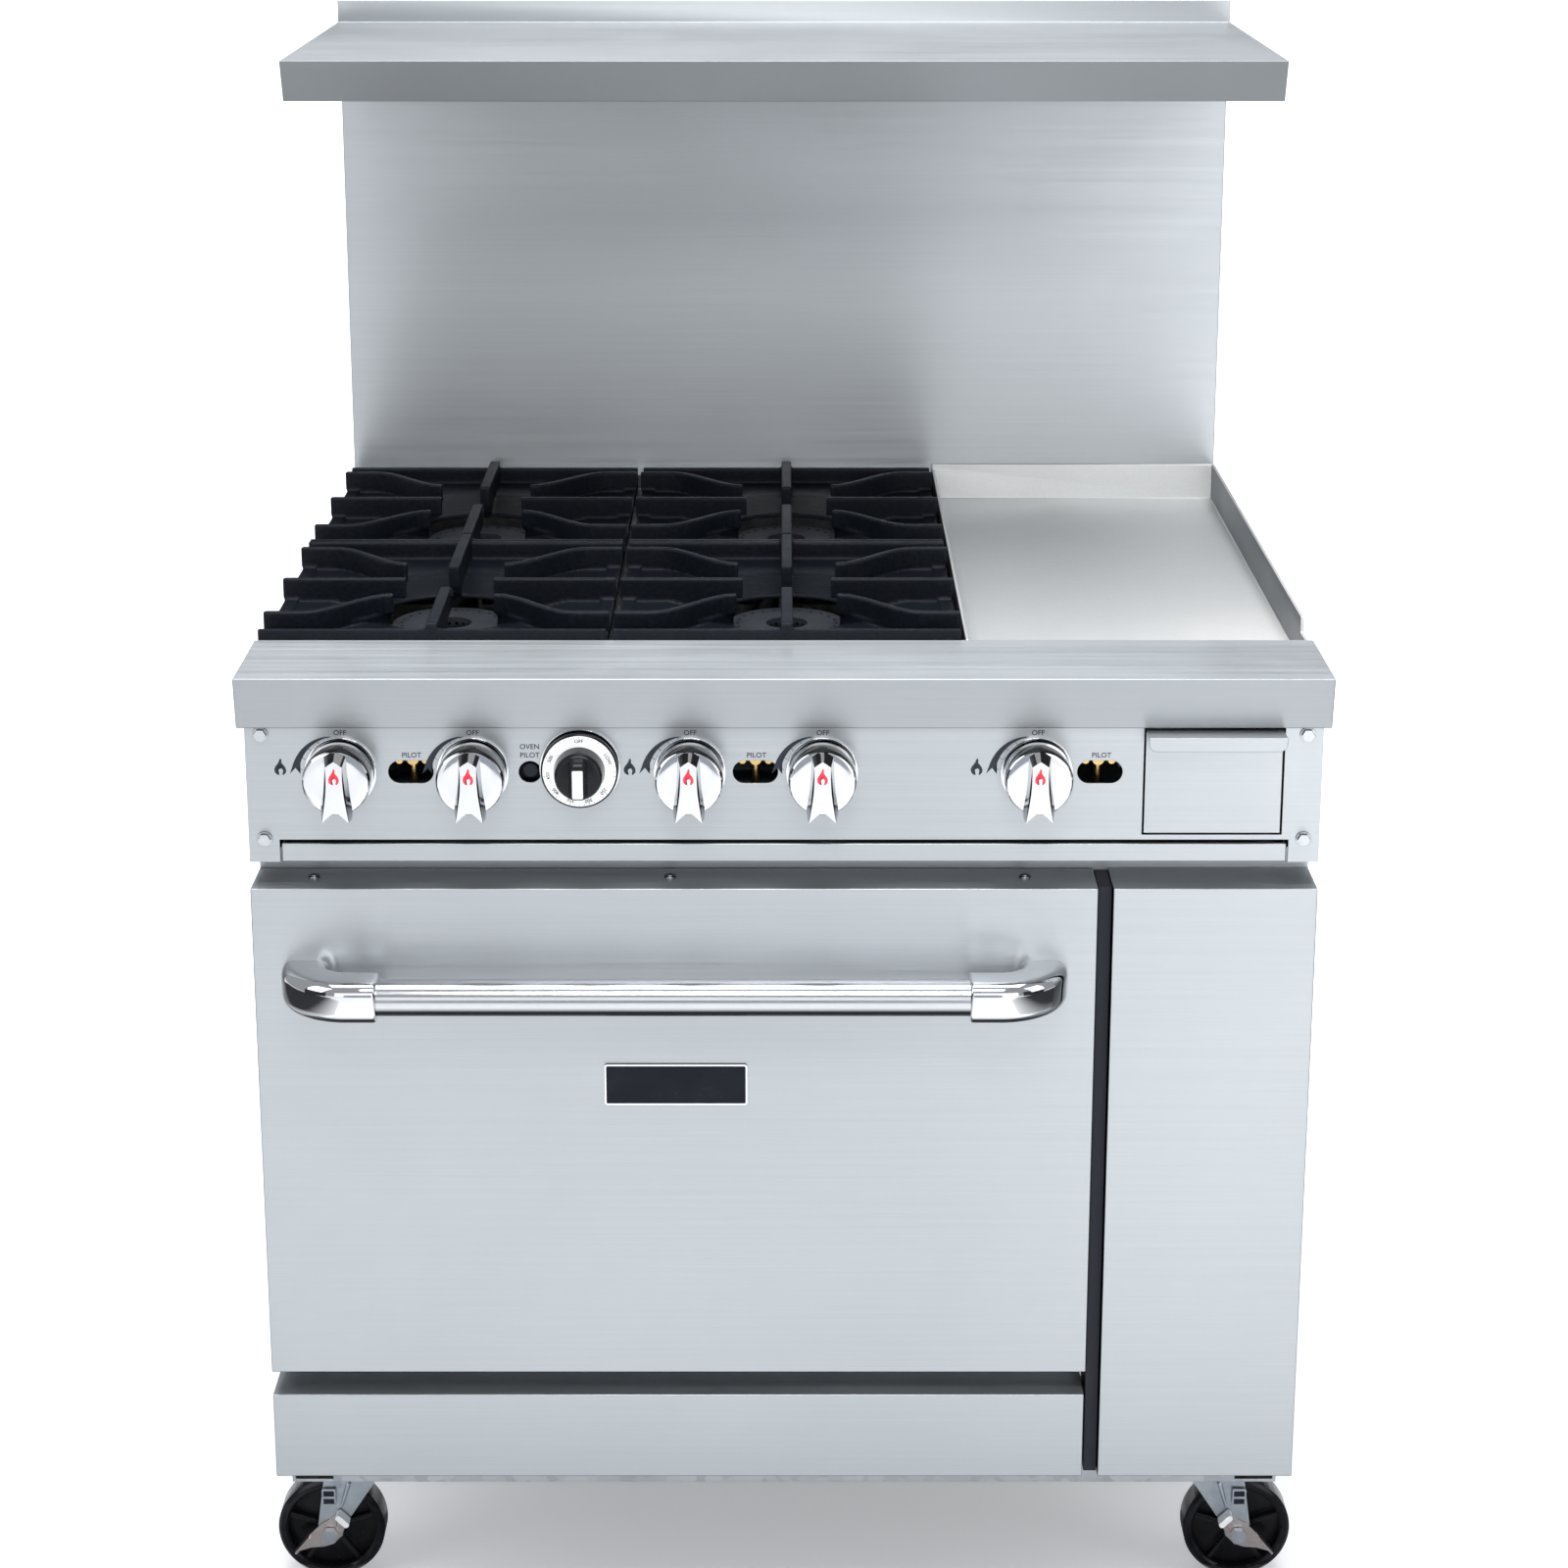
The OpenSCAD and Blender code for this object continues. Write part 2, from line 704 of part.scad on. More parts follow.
// Two-legged tube burner under the griddle plate with its mixing tube
module griddle_burner() {
    r = 11;
    z = 866;
    xs = [226, 392];
    y0 = 262;
    y1 = 740;
    mix_z = 852;
    color("dimgray") placed() difference() {
        union() {
            for (x = xs) rod_y(x, y0, y1, z, r);
            rod_x(xs[0], xs[1], y1, z, r);
            for (x = xs) translate([x, y1, z]) sphere(r = r);
            translate([xs[1], y0, z]) sphere(r = r);
            rod_level([knob_xs[4], venturi_y], [xs[0], y0], mix_z, 12);
            rod_level([knob_xs[4], venturi_y], [knob_xs[4] + 2, venturi_y + 24], mix_z, 15);
            rod_z(xs[0], y0, mix_z - 6, z, r);
            translate([xs[0], y0, z]) sphere(r = r);
        }
        for (x = xs, k = [0:17]) rod_z(x, 280 + k * 25, z + 4, z + r + 2, 1.8);
    }
}

module grease_chute() {
    color("gainsboro") placed() difference() {
        union() {
            rod_z(drain[0], drain[1], drawer_box_z + 3, trough_z, drain_r + 3);
            rod_z(drain[0], drain[1], trough_z - 2.5, trough_z, drain_r + 12);
        }
        rod_z(drain[0], drain[1], drawer_box_z, trough_z + 1, drain_r);
    }
}

// Double-skinned riser behind the cooktop; the flue runs up inside it
module backsplash() {
    t = sheet_t;
    y0 = cooktop_d;
    z1 = shelf_h - sheet_t - 3 * clear;
    half = half_w - 1;
    z0 = skirt_z + 18;
    y1 = back_y + sheet_t + clear;
    fold = 30;
    color("gainsboro") placed() {
        box(-half, half, y0, y0 + t, z0, z1);
        box(-half, half, y0, y0 + 12, z0, z0 + t);
        for (s = [-1, 1]) {
            x = s > 0 ? half - t : -half;
            fold_x = s > 0 ? half - fold : -half;
            box(x, x + t, y0, y1 + t, z0, z1);
            box(fold_x, fold_x + fold, y1, y1 + t, z0, z1);
        }
    }
}

module high_shelf() {
    t = sheet_t;
    y0 = shelf_y;
    y1 = cooktop_d;
    top = shelf_h;
    low = top - shelf_flange;
    skin = [
        [y0, top], [y1, top], [y1, top + shelf_upstand], [y1 + t, top + shelf_upstand], [y1 + t, top - t],
        [y0 + t, top - t], [y0 + shelf_lean + t, low + t], [y0 + shelf_lean + 12, low + t],
        [y0 + shelf_lean + 12, low], [y0 + shelf_lean, low]
    ];
    cap = [
        [y0, top], [y1 + t, top], [y1 + t, top - t - 1],
        [y0 + shelf_lean + 40, low], [y0 + shelf_lean, low]
    ];
    color("gainsboro") placed() {
        profile_x(-half_w, half_w, skin);
        for (x = [-half_w, half_w - t]) profile_x(x, x + t, cap);
        difference() {
            box(-half_w, half_w, y1, back_y + 5, top - t, top);
            for (k = [-3:3]) box(k * 125 - 50, k * 125 + 50, y1 + 9, y1 + 22, top - t - 1, top + 1);
        }
        box(-half_w + 20, half_w - 20, y1 + t + clear, y1 + 2 * t + clear, top - 60, top - t + 1);
        for (x = [-240, 0, 240]) box(x - 20, x + 20, y0 + 30, y1 - 4, top - t - 10, top - t + 1);
    }
}

// ---------- oven door ----------

// Slots in the door's lower back edge that clear the two hinge arms through the whole swing
module hinge_slots() {
    half = hinge_arm_t / 2 + 1;
    reach = hinge_arm_r + 1;
    for (x = hinge_xs)
        box(x - half, x + half, hinge_y - reach, door_t + 10, door_bottom - 10, hinge_z + reach);
}

module door_skin() {
    color("gainsboro") placed() difference() {
        pan(door_left, door_right, 0, door_t - 2, door_bottom, door_top, sheet_t);
        hinge_slots();
    }
}

module door_liner() {
    edge = 0.2;
    x0 = door_left + sheet_t + edge;
    x1 = door_right - sheet_t - edge;
    color("silver") placed() difference() {
        union() {
            box(door_left + edge, door_right - edge, door_t - 2, door_t, door_bottom + edge, door_top - edge);
            box(x0, x1, door_t - 14, door_t - 2, door_top - 4.5, door_top - 2.2);
        }
        for (x = door_screw_xs, z = door_screw_zs) rod_y(x, door_t - 3, door_t + 1, z, 2.5);
        hinge_slots();
    }
}

module door_insulation() {
    gap = 0.5;
    color("khaki") placed()
        box(door_left + 3, door_right - 3, sheet_t + gap, door_t - 8, door_bottom + 34, door_top - 8);
}

module door_handle_bar() {
    color("silver") placed()
        rod_x(door_mid - bar_half - 12, door_mid + bar_half + 12, bar_y, handle_z, handle_bar_d / 2);
}

// Cast elbows that carry the handle bar: a quarter turn out of the door and a short socket
module handle_bracket() {
    r_mid = bracket_r_in + bracket_t / 2;
    corner = 9;
    straight = bracket_out - bracket_r_in - bracket_t - bar_half;
    translate([-(bracket_out - bracket_r_in - bracket_t), 0, handle_z]) {
        rotate([0, 0, 180]) rotate_extrude(angle = 90) translate([r_mid, 0])
            rounded_square(bracket_t, bracket_h, corner);
        difference() {
            translate([0, -r_mid, 0]) rotate([0, 90, 0]) linear_extrude(straight)
                rounded_square(bracket_h, bracket_t, corner);
            rod_x(straight - 12.5, straight + 1, bar_y, 0, handle_bar_d / 2 + 0.2);
        }
    }
}

module door_handle_brackets() {
    color("silver") placed() translate([door_mid, 0, 0]) {
        handle_bracket();
        mirror([1, 0, 0]) handle_bracket();
    }
}

module door_badge() {
    color("black") placed()
        outline_y(-2, 0) translate([door_mid, 565]) rounded_square(122, 37, 2);
}

module door_hinge_pins() {
    color("silver") placed() {
        x0 = door_left + hinge_inset;
        x1 = door_right - hinge_inset;
        rod_x(x0 - 10, x0 + 16, hinge_y, hinge_z, hinge_pin_r);
        rod_x(x1 - 16, x1 + 10, hinge_y, hinge_z, hinge_pin_r);
        for (x = [x0 + 5, x1 - 15]) difference() {
            box(x, x + 10, sheet_t + 0.2, 40, door_bottom + sheet_t + 0.2, hinge_z + 22);
            box(x - 1, x + 11, sheet_t + 4, 41, hinge_z + 8, hinge_z + 23);
        }
    }
}

module door_screws() {
    color("silver") placed() {
        for (x = [-400, -97, 205]) {
            rod_z(x, 30, door_top, door_top + 1.5, 5);
            rod_z(x, 30, door_top + 1.5, door_top + 2.6, 3.2);
        }
        for (x = door_screw_xs, z = door_screw_zs) rod_y(x, door_t - 6, door_t + 1, z, 2.4);
    }
}

// ---------- knobs ----------

// Round body with a raised bow-shaped grip that ends in a swallow tail below
module burner_knob(x) {
    r = knob_d / 2;
    back = panel_y - bezel_t - knob_gap;
    front = back - knob_depth;
    waist = 7.5;
    color("lightgray") placed() translate([x, 0, knob_z]) difference() {
        union() {
            rod_y(0, front, back, 0, r);
            outline_y(front - grip_depth, front + 1)
                polygon([
                    [-5, r - 2], [-waist, r - 14], [-waist - 1, 0], [-grip_w / 2 - 1, -r + 6],
                    [-grip_w / 2 - 2, -grip_tail + 2], [0, -grip_tail + 12], [grip_w / 2 + 2, -grip_tail + 2],
                    [grip_w / 2 + 1, -r + 6], [waist + 1, 0], [waist, r - 14], [5, r - 2]
                ]);
        }
        rod_y(0, front + 5, back + 1, 0, stem_r + 0.06);
        difference() {
            rod_y(0, front + 4, back + 1, 0, r - 3);
            rod_y(0, front + 3, back + 2, 0, 9);
        }
    }
}

module knob_1() {
    burner_knob(knob_xs[0]);
}

module knob_2() {
    burner_knob(knob_xs[1]);
}

module knob_3() {
    burner_knob(knob_xs[2]);
}

module knob_4() {
    burner_knob(knob_xs[3]);
}

module knob_5() {
    burner_knob(knob_xs[4]);
}

// Dial skirt with a round black grip and a bar across it
module thermostat_knob() {
    back = panel_y - bezel_t - knob_gap;
    skirt = 5;
    grip = 20;
    bar = 14;
    color("dimgray") placed() translate([dial_x, 0, dial_z]) difference() {
        union() {
            rod_y(0, back - skirt, back, 0, dial_d / 2);
            rod_y(0, back - skirt - grip, back - skirt + 1, 0, 20);
            outline_y(back - skirt - grip - 6, back - skirt - grip + 1) square([bar, 36], center = true);
        }
        rod_y(0, back - skirt - 8, back + 1, 0, stem_r + 0.06);
    }
}

// ---------- drawers and rack ----------

module crumb_tray() {
    t = sheet_t;
    z0 = strip_z - 0.5;
    z1 = z0 + tray_h;
    color("gainsboro") placed() difference() {
        box(-tray_half, tray_half, panel_y, tray_depth, z0, z1);
        box(-tray_half + t, tray_half - t, panel_y + 2 * t, tray_depth - t, z0 + t, z1 + 1);
    }
}

module grease_drawer() {
    t = sheet_t;
    y0 = panel_y;
    y1 = y0 + drawer_depth;
    x0 = drawer_x0 + 2;
    x1 = drawer_x1 - 2;
    z0 = drawer_z0 + 1;
    lip = 24;
    lip_drop = 12;
    mid = (x0 + x1) / 2;
    color("gainsboro") placed() {
        difference() {
            box(drawer_x0, drawer_x1, y0, y0 + t, drawer_z0, drawer_z1);
            rod_y(mid, y0 - 1, y0 + t + 1, drawer_z1 - 16, 1.5);
        }
        difference() {
            box(x0, x1, y0 + t, y1, z0, drawer_box_z);
            box(x0 + t, x1 - t, y0 + t - 1, y1 - t, z0 + t, drawer_box_z + 1);
        }
        box(drawer_x0, drawer_x1, y0 - lip, y0 + 1, drawer_z1 - t, drawer_z1);
        intersection() {
            outline_y(y0 - lip, y0 - lip + t) translate([mid, drawer_z1])
                rounded_square(drawer_x1 - drawer_x0, 2 * lip_drop, 6.5);
            box(drawer_x0, drawer_x1, y0 - lip, y0 - lip + t, drawer_z1 - lip_drop, drawer_z1);
        }
    }
}

module oven_rack() {
    r = rack_wire_r;
    x0 = liner_x0 + sheet_t + guide_inset + r;
    x1 = liner_x1 - sheet_t - guide_inset - r;
    y1 = liner_y1 - 8;
    y0 = y1 - 558;
    pitch = 26;
    count = floor((x1 - x0) / pitch);
    color("silver") placed() {
        for (y = [y0, y1]) rod_x(x0, x1, y, rack_z, r);
        for (x = [x0, x1]) rod_y(x, y0, y1, rack_z, r);
        for (x = [x0, x1], y = [y0, y1]) translate([x, y, rack_z]) sphere(r = r);
        rod_x(x0, x1, (y0 + y1) / 2, rack_z, r - 0.2);
        for (k = [1:count]) rod_y(x0 + k * (x1 - x0) / (count + 1), y0, y1, rack_z + 1.5, 1.6);
    }
}

// ---------- grates ----------

// Centre line of a corner finger: straight in from the side, then an easy bend towards the burner
function finger_line(u) =
    let (bend = max(0, (u - 0.3) / 0.7), ease = bend * bend * (3 - 2 * bend))
    [grate_w / 2 - u * (grate_w / 2 - 45), 117 - 61 * ease];

function finger_normal(u) =
    let (d = finger_line(min(1, u + 0.02)) - finger_line(max(0, u - 0.02)))
    [-d[1], d[0]] / norm(d);

module corner_finger(low, high) {
    steps = 12;
    outer = [for (k = [0:steps]) finger_line(k / steps) + finger_t / 2 * finger_normal(k / steps)];
    inner = [for (k = [steps:-1:0]) finger_line(k / steps) - finger_t / 2 * finger_normal(k / steps)];
    translate([0, 0, low]) linear_extrude(high - low) polygon(concat(outer, inner));
}

// Cast grate seen from its own centre; z is measured down from the finger tops
module grate(centre) {
    hw = grate_w / 2;
    hd = grate_d / 2;
    seat = grate_seat + clear - grate_top;
    t = finger_t;
    bowl_r = 64;
    bowl_drop = seat - 9;
    color("black") placed() translate([centre[0], centre[1], grate_top]) {
        for (sx = [0, 1], sy = [0, 1]) mirror([sx, 0, 0]) mirror([0, sy, 0]) corner_finger(-18.5, 0);
        for (s = [-1, 1]) {
            x0 = s > 0 ? 40 : -hw;
            box(x0, x0 + hw - 40, -t / 2, t / 2, -18.5, 0);
            y0 = s > 0 ? 38 : -hd;
            box(-5, 5, y0, y0 + hd - 38, -20, 2);
            ys = s > 0 ? hd - t : -hd;
            box(-hw + 1, hw - 1, ys, ys + t, seat, -5);
            xs = s > 0 ? hw - 13 : -hw + 1;
            box(xs, xs + 12, -hd + 1, hd - 1, seat, seat + 8);
        }
        intersection() {
            rotate_extrude($fn = 64)
                polygon([
                    [bowl_r, bowl_drop], [bowl_r + 45, seat + 2], [hw + hd, seat + 2], [hw + hd, seat + 6],
                    [bowl_r + 44, seat + 6], [bowl_r, bowl_drop + 4]
                ]);
            box(-hw + 1, hw - 1, -hd + 1, hd - 1, bowl_drop - 1, seat + 7);
        }
        for (a = [0, 90, 180, 270]) rotate([0, 0, a]) box(56, 112, -t / 2, t / 2, bowl_drop + 6, -17);
        for (sx = [-1, 1], sy = [-1, 1])
            rotate([0, 0, atan2(sy * 72, sx * 68)]) box(72, 118, -t / 2, t / 2, bowl_drop + 6, -17);
    }
}

module grate_front_left() {
    grate([grate_xs[0], grate_ys[0]]);
}

module grate_front_right() {
    grate([grate_xs[1], grate_ys[0]]);
}

module grate_rear_left() {
    grate([grate_xs[0], grate_ys[1]]);
}

module grate_rear_right() {
    grate([grate_xs[1], grate_ys[1]]);
}

// ---------- casters ----------

// Pressed fork with its crown on the swivel axis and the axle bolt trailing at one side
module fork(side, y) {
    wx = side * trail;
    outer = fork_gap + fork_t;
    nut_y = outer + 3.4;
    nut_h = 6;
    leg = [
        [wx - side * 11, wheel_r - 4], [wx - side * 13, wheel_r + 6], [-side * 30, crown_z + 1],
        [side * 30, crown_z + 1], [wx + side * 12, wheel_r + 4], [wx + side * 8, wheel_r - 8],
        [wx - side * 4, wheel_r - 10]
    ];
    color("lightsteelblue") placed() translate([side * swivel_x, y, 0]) {
        difference() {
            rod_z(0, 0, crown_z, crown_z + crown_h, crown_r);
            rod_z(0, 0, crown_z - 1, crown_z + crown_h + 1, kingpin_r + 0.06);
        }
        for (s = [-1, 1]) {
            leg_y = s > 0 ? fork_gap : -outer;
            outline_y(leg_y, leg_y + fork_t) polygon(leg);
        }
        rod_y(wx, -nut_y - nut_h, nut_y, wheel_r, axle_r);
        hex_head(wx, -nut_y, wheel_r, 7.5, nut_h);
        hex_head(wx, nut_y, wheel_r, 7.5, nut_y - outer);
    }
}

module fork_front_left() {
    fork(-1, caster_ys[0]);
}

module fork_front_right() {
    fork(1, caster_ys[0]);
}

module fork_rear_left() {
    fork(-1, caster_ys[1]);
}

module fork_rear_right() {
    fork(1, caster_ys[1]);
}

// Moulded wheel: rounded tread, recessed web with five spokes on each face, and a hub
module wheel(side, y) {
    w = wheel_w / 2;
    rim_r = wheel_r - 9;
    hub_r = 13;
    hub_w = fork_gap - 0.6;
    edge = 3;
    web = 3;
    color("black") placed() translate([side * (swivel_x + trail), y, wheel_r]) rotate([90, 0, 0]) {
        difference() {
            union() {
                rotate_extrude($fn = 96)
                    polygon([
                        [0, -hub_w], [hub_r, -hub_w], [hub_r, -web], [rim_r, -web],
                        [rim_r, -w + 2], [rim_r + 2, -w], [wheel_r - edge, -w], [wheel_r, -w + edge],
                        [wheel_r, w - edge], [wheel_r - edge, w], [rim_r + 2, w], [rim_r, w - 2],
                        [rim_r, web], [hub_r, web], [hub_r, hub_w], [0, hub_w]
                    ]);
                for (k = [0:4]) rotate([0, 0, 90 + 72 * k]) translate([hub_r - 2, -2, -w + 5])
                    cube([rim_r - hub_r + 4, 4, wheel_w - 10]);
            }
            cylinder(r = axle_r + 0.06, h = 60, center = true);
        }
    }
}

module wheel_front_left() {
    wheel(-1, caster_ys[0]);
}

module wheel_front_right() {
    wheel(1, caster_ys[0]);
}

module wheel_rear_left() {
    wheel(-1, caster_ys[1]);
}

module wheel_rear_right() {
    wheel(1, caster_ys[1]);
}

// Pressed brake lever on the axle, in front of the fork, with a folded toe tab and a pointed heel
module brake(side) {
    t = 2;
    y1 = -fork_gap - fork_t - 0.7;
    heel = [-34, -20];
    toe = [8, 22];
    plate = [
        heel, [-17, 1], [-9, 9], [0, 14], toe, [17, 13], [10, -3], [3, -11], [-6, -14], [-18, -15]
    ];
    color("rosybrown") placed() translate([side * (swivel_x + trail), caster_ys[0], wheel_r])
        mirror([side > 0 ? 1 : 0, 0, 0]) {
            difference() {
                outline_y(y1 - t, y1) polygon(plate);
                rod_y(0, y1 - t - 1, y1 + 1, 0, axle_r + 0.06);
            }
            translate([toe[0], y1 - 12, toe[1]]) rotate([0, 45, 0]) translate([0.5, 0, -1]) cube([11, 12, t]);
            translate([heel[0], y1 - 8, heel[1]]) rotate([0, -51, 0]) translate([2, 0, -1]) cube([22, 8, t]);
        }
}

module brake_left() {
    brake(-1);
}

module brake_right() {
    brake(1);
}

base_frame();
caster_plates();
left_side_panel();
right_side_panel();
back_panel();
front_frame();
divider_post();
kick_panel();
right_front_cover();
oven_liner();
oven_insulation();
oven_floor();
rack_guides();
oven_burner();
cooktop_frame();
front_ledge();
control_panel();
panel_screws();
knob_bezels();
top_burners();
gas_manifold();
gas_valves();
oven_controls();
pilot_tubes();
griddle();
griddle_burner();
grease_chute();
backsplash();
high_shelf();
door_skin();
door_liner();
door_insulation();
door_handle_bar();
door_handle_brackets();
door_badge();
door_hinge_pins();
door_screws();
knob_1();
knob_2();
knob_3();
knob_4();
knob_5();
thermostat_knob();
crumb_tray();
grease_drawer();
oven_rack();
grate_front_left();
grate_front_right();
grate_rear_left();
grate_rear_right();
fork_front_left();
fork_front_right();
fork_rear_left();
fork_rear_right();
wheel_front_left();
wheel_front_right();
wheel_rear_left();
wheel_rear_right();
brake_left();
brake_right();
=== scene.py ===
import json
import math

import bmesh
import bpy
from mathutils import Matrix, Vector


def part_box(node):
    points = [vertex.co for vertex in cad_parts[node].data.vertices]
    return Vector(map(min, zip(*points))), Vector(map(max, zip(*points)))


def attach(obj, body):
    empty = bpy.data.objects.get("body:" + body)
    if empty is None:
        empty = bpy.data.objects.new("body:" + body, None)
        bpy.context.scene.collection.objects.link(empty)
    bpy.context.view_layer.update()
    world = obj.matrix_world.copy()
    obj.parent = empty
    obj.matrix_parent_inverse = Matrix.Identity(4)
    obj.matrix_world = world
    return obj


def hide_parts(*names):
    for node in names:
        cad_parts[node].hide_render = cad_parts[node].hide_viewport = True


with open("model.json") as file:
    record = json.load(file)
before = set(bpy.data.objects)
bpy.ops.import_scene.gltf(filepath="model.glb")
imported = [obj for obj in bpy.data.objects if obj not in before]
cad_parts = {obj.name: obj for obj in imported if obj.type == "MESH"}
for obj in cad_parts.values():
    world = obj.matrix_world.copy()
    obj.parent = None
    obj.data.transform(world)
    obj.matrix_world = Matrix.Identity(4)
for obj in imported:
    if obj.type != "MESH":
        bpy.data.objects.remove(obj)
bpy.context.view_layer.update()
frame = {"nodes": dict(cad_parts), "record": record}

NODES = frame["nodes"]
RECORD = frame["record"]
SLOT_OF = {s["node"]: s["material_slot"] for s in RECORD["subparts"]}
BODY_OF = {n: b for b, ns in RECORD["behaviour"]["bodies"].items() for n in ns}
Y0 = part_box("front_ledge")[0].y  # front edge of the ledge, which y is measured from below
MM = 0.001
FLAT_ANGLE = 0.4  # degrees: faces that turn less than this are one flat face


def at(x, y, z):
    """A point in the frame from millimetres: y counts back from the ledge's front edge."""
    return Vector((x * MM, Y0 + y * MM, z * MM))


def middle(node):
    low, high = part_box(node)
    return (low + high) / 2


# ---------- materials ----------


class Shader:
    """One Principled material and the few nodes that most of the finishes share."""

    def __init__(self, name, metallic=0.0, **sockets):
        self.material = bpy.data.materials.new(name)
        self.material.use_nodes = True
        self.nodes = self.material.node_tree.nodes
        self.links = self.material.node_tree.links
        self.nodes.clear()
        self.out = self.nodes.new("ShaderNodeOutputMaterial")
        self.bsdf = self.nodes.new("ShaderNodeBsdfPrincipled")
        self.links.new(self.bsdf.outputs[0], self.out.inputs[0])
        self.bsdf.inputs["Metallic"].default_value = metallic
        for key, value in sockets.items():
            self.bsdf.inputs[key.replace("_", " ")].default_value = value
        self.coords = self.nodes.new("ShaderNodeTexCoord").outputs["Object"]

    def add(self, kind, inputs=(), **settings):
        node = self.nodes.new("ShaderNode" + kind)
        for key, value in settings.items():
            setattr(node, key, value)
        for key, value in dict(inputs).items():
            if isinstance(value, bpy.types.NodeSocket):
                self.links.new(value, node.inputs[key])
            else:
                node.inputs[key].default_value = value
        return node

    def stretched(self, scale):
        return self.add("Mapping", {"Vector": self.coords, "Scale": scale}).outputs[0]

    def noise(self, scale, detail=3.0, rough=0.5, stretch=None, warp=0.0):
        vector = self.stretched(stretch) if stretch else self.coords
        return self.add(
            "TexNoise",
            {"Vector": vector, "Scale": scale, "Detail": detail, "Roughness": rough, "Distortion": warp},
        ).outputs["Fac"]

    def ramp(self, value, low, high, to_low=0.0, to_high=1.0):
        return self.add(
            "MapRange",
            {"Value": value, "From Min": low, "From Max": high, "To Min": to_low, "To Max": to_high},
        ).outputs["Result"]

    def mix(self, factor, a, b):
        node = self.add("Mix", {"Factor": factor}, data_type="RGBA")
        for key, value in (("A", a), ("B", b)):
            socket = [s for s in node.inputs if s.name == key and s.type == "RGBA"][0]
            if isinstance(value, bpy.types.NodeSocket):
                self.links.new(value, socket)
            else:
                socket.default_value = (*value, 1.0)[:4]
        return [s for s in node.outputs if s.type == "RGBA"][0]

    def maths(self, operation, a, b=0.0):
        return self.add("Math", {0: a, 1: b}, operation=operation).outputs[0]

    def bump(self, height, strength, distance, normal=None):
        inputs = {"Height": height, "Strength": strength, "Distance": distance}
        if normal is not None:
            inputs["Normal"] = normal
        return self.add("Bump", inputs).outputs[0]

    def edges(self, low=0.52, high=0.62):
        """1 where an edge stands proud, which is where it wears."""
        return self.ramp(self.add("NewGeometry").outputs["Pointiness"], low, high)

    def facing(self, direction, low, high):
        """0 to 1 as the surface turns to face a direction in the world."""
        normal = self.add("NewGeometry").outputs["Normal"]
        turned = self.add("VectorMath", {0: normal, 1: direction}, operation="DOT_PRODUCT").outputs["Value"]
        return self.ramp(turned, low, high)

    def to(self, **sockets):
        for key, value in sockets.items():
            self.links.new(value, self.bsdf.inputs[key.replace("_", " ")])
        return self.material


def brushed(name, base, rough, along="x", painted_top_light=1.0):
    """Sheet with a grain of fine parallel lines along one axis, faint cleaning haze and small scratches;
    faces turned downwards get painted shade, and faces turned upwards get painted light when their factor is
    not 1.
    """
    contrast, haze, bump, painted_underside_shade = 0.05, 0.05, 0.06, 0.42
    s = Shader(name, metallic=1.0, Anisotropic=0.75)
    axis = "xyz".index(along)
    lines = [900.0, 900.0, 900.0]
    lines[axis] = 5.0
    fine = s.noise(1.0, 2.0, 0.6, stretch=lines)
    lines = [2600.0, 2600.0, 2600.0]
    lines[axis] = 24.0
    hair = s.noise(1.0, 1.0, 0.5, stretch=lines)
    lines = [210.0, 210.0, 210.0]
    lines[axis] = 1.6
    band = s.noise(1.0, 2.0, 0.5, stretch=lines)
    cloud = s.noise(3.2, 4.0, 0.6, warp=0.6)
    grain = s.maths("ADD", s.maths("MULTIPLY", fine, 0.6), s.maths("MULTIPLY", band, 0.4))
    dark = [c * (1 - contrast) for c in base]
    light = [min(1.0, c * (1 + contrast)) for c in base]
    colour = s.mix(s.ramp(grain, 0.3, 0.7), dark, light)
    # Painted shade: faces turned downwards are darkened towards a fraction of the base colour.
    colour = s.mix(s.facing((0, 0, -1), 0.03, 0.42), colour, [c * painted_underside_shade for c in base])
    # Painted light: faces turned upwards are lightened by the given factor.
    if painted_top_light != 1.0:
        colour = s.mix(s.facing((0, 0, 1), 0.80, 0.98), colour, [c * painted_top_light for c in base])
    roughness = s.maths(
        "ADD",
        s.ramp(grain, 0.3, 0.7, rough - 0.05, rough + 0.05),
        s.ramp(cloud, 0.3, 0.7, -haze / 2, haze / 2),
    )
    height = s.maths("ADD", s.maths("MULTIPLY", hair, 0.5), fine)
    across = s.add(
        "VectorMath",
        {0: s.add("NewGeometry").outputs["Normal"], 1: [1.0 if k == axis else 0.0 for k in range(3)]},
        operation="CROSS_PRODUCT",
    ).outputs["Vector"]
    return s.to(
        Base_Color=colour,
        Roughness=roughness,
        Normal=s.bump(height, bump, 0.0002),
        Tangent=across,
    )


def polished(name, base, rough, smudge=0.05, painted_shade_side=None):
    """Plated metal: nearly a mirror, with wiped smudges and a very slight waviness; where a side is given,
    faces turned to it are painted nearly black, painted shade and painted dark reflection.
    """
    s = Shader(name, metallic=1.0)
    cloud = s.noise(38.0, 4.0, 0.65, warp=1.2)
    specks = s.noise(900.0, 2.0, 0.7)
    roughness = s.maths(
        "ADD", s.ramp(cloud, 0.35, 0.75, rough, rough + smudge), s.ramp(specks, 0.66, 0.8, 0.0, 0.08)
    )
    colour = s.mix(s.ramp(cloud, 0.3, 0.8), base, [c * 0.95 for c in base])
    # Painted shade and painted dark reflection: faces turned towards the given side are darkened nearly to
    # black.
    if painted_shade_side:
        colour = s.mix(s.facing(painted_shade_side, 0.30, 0.62), colour, [c * 0.06 for c in base])
    return s.to(
        Base_Color=colour, Roughness=roughness, Normal=s.bump(s.noise(60.0, 1.0), 0.02, 0.001)
    )


